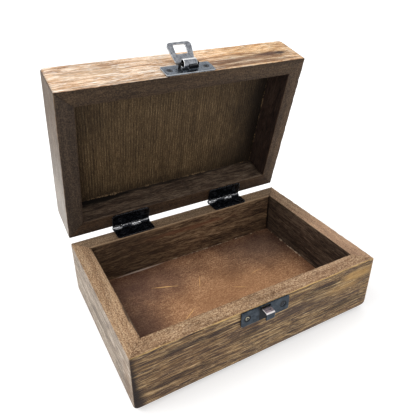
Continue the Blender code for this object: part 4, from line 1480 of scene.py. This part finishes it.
# Black wire with warm bright specks and bends: painted glints, partly scratches
STAPLE_LOOK = {
    **HINGE_LOOK,
    "plate": [srgb(14, 14, 16), srgb(26, 26, 28), srgb(46, 46, 48)],
    "bright": srgb(236, 226, 206),
    "wear_strength": 0.9,
    "wear_span": (0.62, 0.72),
    "scratches": 0.9,
}
BRASS_NAIL_LOOK = {
    **NAIL_LOOK,
    "bright": srgb(232, 224, 190),
    "wear_strength": 0.95,
    "wear_span": (0.1, 0.45),
}


# Floor, light and camera


def build_floor():
    """A plain pale round floor."""
    bm = bmesh.new()
    bmesh.ops.create_circle(bm, cap_ends=True, segments=96, radius=FLOOR_RADIUS)
    mesh = bpy.data.meshes.new("floor")
    bm.to_mesh(mesh)
    bm.free()
    floor = linked("floor", mesh)
    floor.location.z = -FLOOR_DROP
    shader = Shader("floor_paper", specular=0.1)
    grain = shader.noise(shader.coordinates(), 900.0, 3.0)
    colour = shader.ramp(grain, [(0.3, (0.7, 0.7, 0.7)), (0.7, (0.73, 0.73, 0.73))])
    shader.principled.inputs["Emission Color"].default_value = (1.0, 1.0, 1.0, 1.0)
    shader.principled.inputs["Emission Strength"].default_value = FLOOR_GLOW
    mesh.materials.append(shader.finish(colour, 0.9))


def build_world():
    """White all round: full strength to the camera, WORLD_LIGHT to everything else."""
    world = bpy.data.worlds.new("studio")
    world.use_nodes = True
    background = world.node_tree.nodes["Background"]
    background.inputs["Color"].default_value = (1.0, 1.0, 1.0, 1.0)
    path = world.node_tree.nodes.new("ShaderNodeLightPath")
    level = world.node_tree.nodes.new("ShaderNodeMapRange")
    level.inputs["To Min"].default_value = WORLD_LIGHT
    level.inputs["To Max"].default_value = 1.0
    world.node_tree.links.new(path.outputs["Is Camera Ray"], level.inputs["Value"])
    world.node_tree.links.new(level.outputs[0], background.inputs["Strength"])
    bpy.context.scene.world = world


def build_sun():
    light = bpy.data.lights.new("key", "SUN")
    light.angle = math.radians(SUN_ANGLE_DEG)
    light.energy = SUN_STRENGTH
    linked("key", light).rotation_euler = SUN_DIRECTION.to_track_quat("-Z", "Y").to_euler()


def build_camera():
    camera = bpy.data.cameras.new("camera")
    camera.sensor_width = 36.0
    camera.lens = CAMERA_LENS
    camera.shift_x, camera.shift_y = CAMERA_SHIFT
    camera.clip_start = 0.01
    holder = linked("camera", camera)
    holder.location = CAMERA_PLACE
    holder.rotation_euler = (CAMERA_TARGET - CAMERA_PLACE).to_track_quat("-Z", "Y").to_euler()
    bpy.context.scene.camera = holder


# Assembly

build_boards("base", BASE_HEIGHT, 0.0, True, CLOSED, BASE_LOOKS, BASE_WEAR)
build_boards("lid", LID_HEIGHT, LID_BOTTOM, False, LID_REST, LID_LOOKS, LID_WEAR)
build_panel("base_bottom_panel", BOTTOM_PANEL, CLOSED, "base", FLOOR_LOOK, 11)
build_panel("lid_top_panel", TOP_PANEL, LID_REST, "lid", TOP_LOOK, 12)

hinge_black = metal_material("hinge_black_steel", HINGE_LOOK)
nail_steel = metal_material("nail_steel", NAIL_LOOK)
brass_nail = metal_material("worn_nail_steel", BRASS_NAIL_LOOK)
catch_black = metal_material("catch_black_steel", CATCH_LOOK)
hasp_steel = metal_material("hasp_steel", HASP_LOOK)
hasp_plate_steel = metal_material("hasp_plate_steel", HASP_PLATE_LOOK)
for hinge_side, hinge_x in HINGE_CENTRES.items():
    build_hinge(hinge_side, hinge_x, hinge_black, nail_steel, nail_steel)
build_catch(catch_black, (brass_nail, nail_steel))
build_hasp_plate(hasp_plate_steel, (nail_steel, nail_steel))
build_staple(metal_material("staple_steel", STAPLE_LOOK))
build_hasp(hasp_steel)

build_floor()
build_world()
build_sun()
build_camera()
bpy.context.scene.view_settings.view_transform = "Standard"
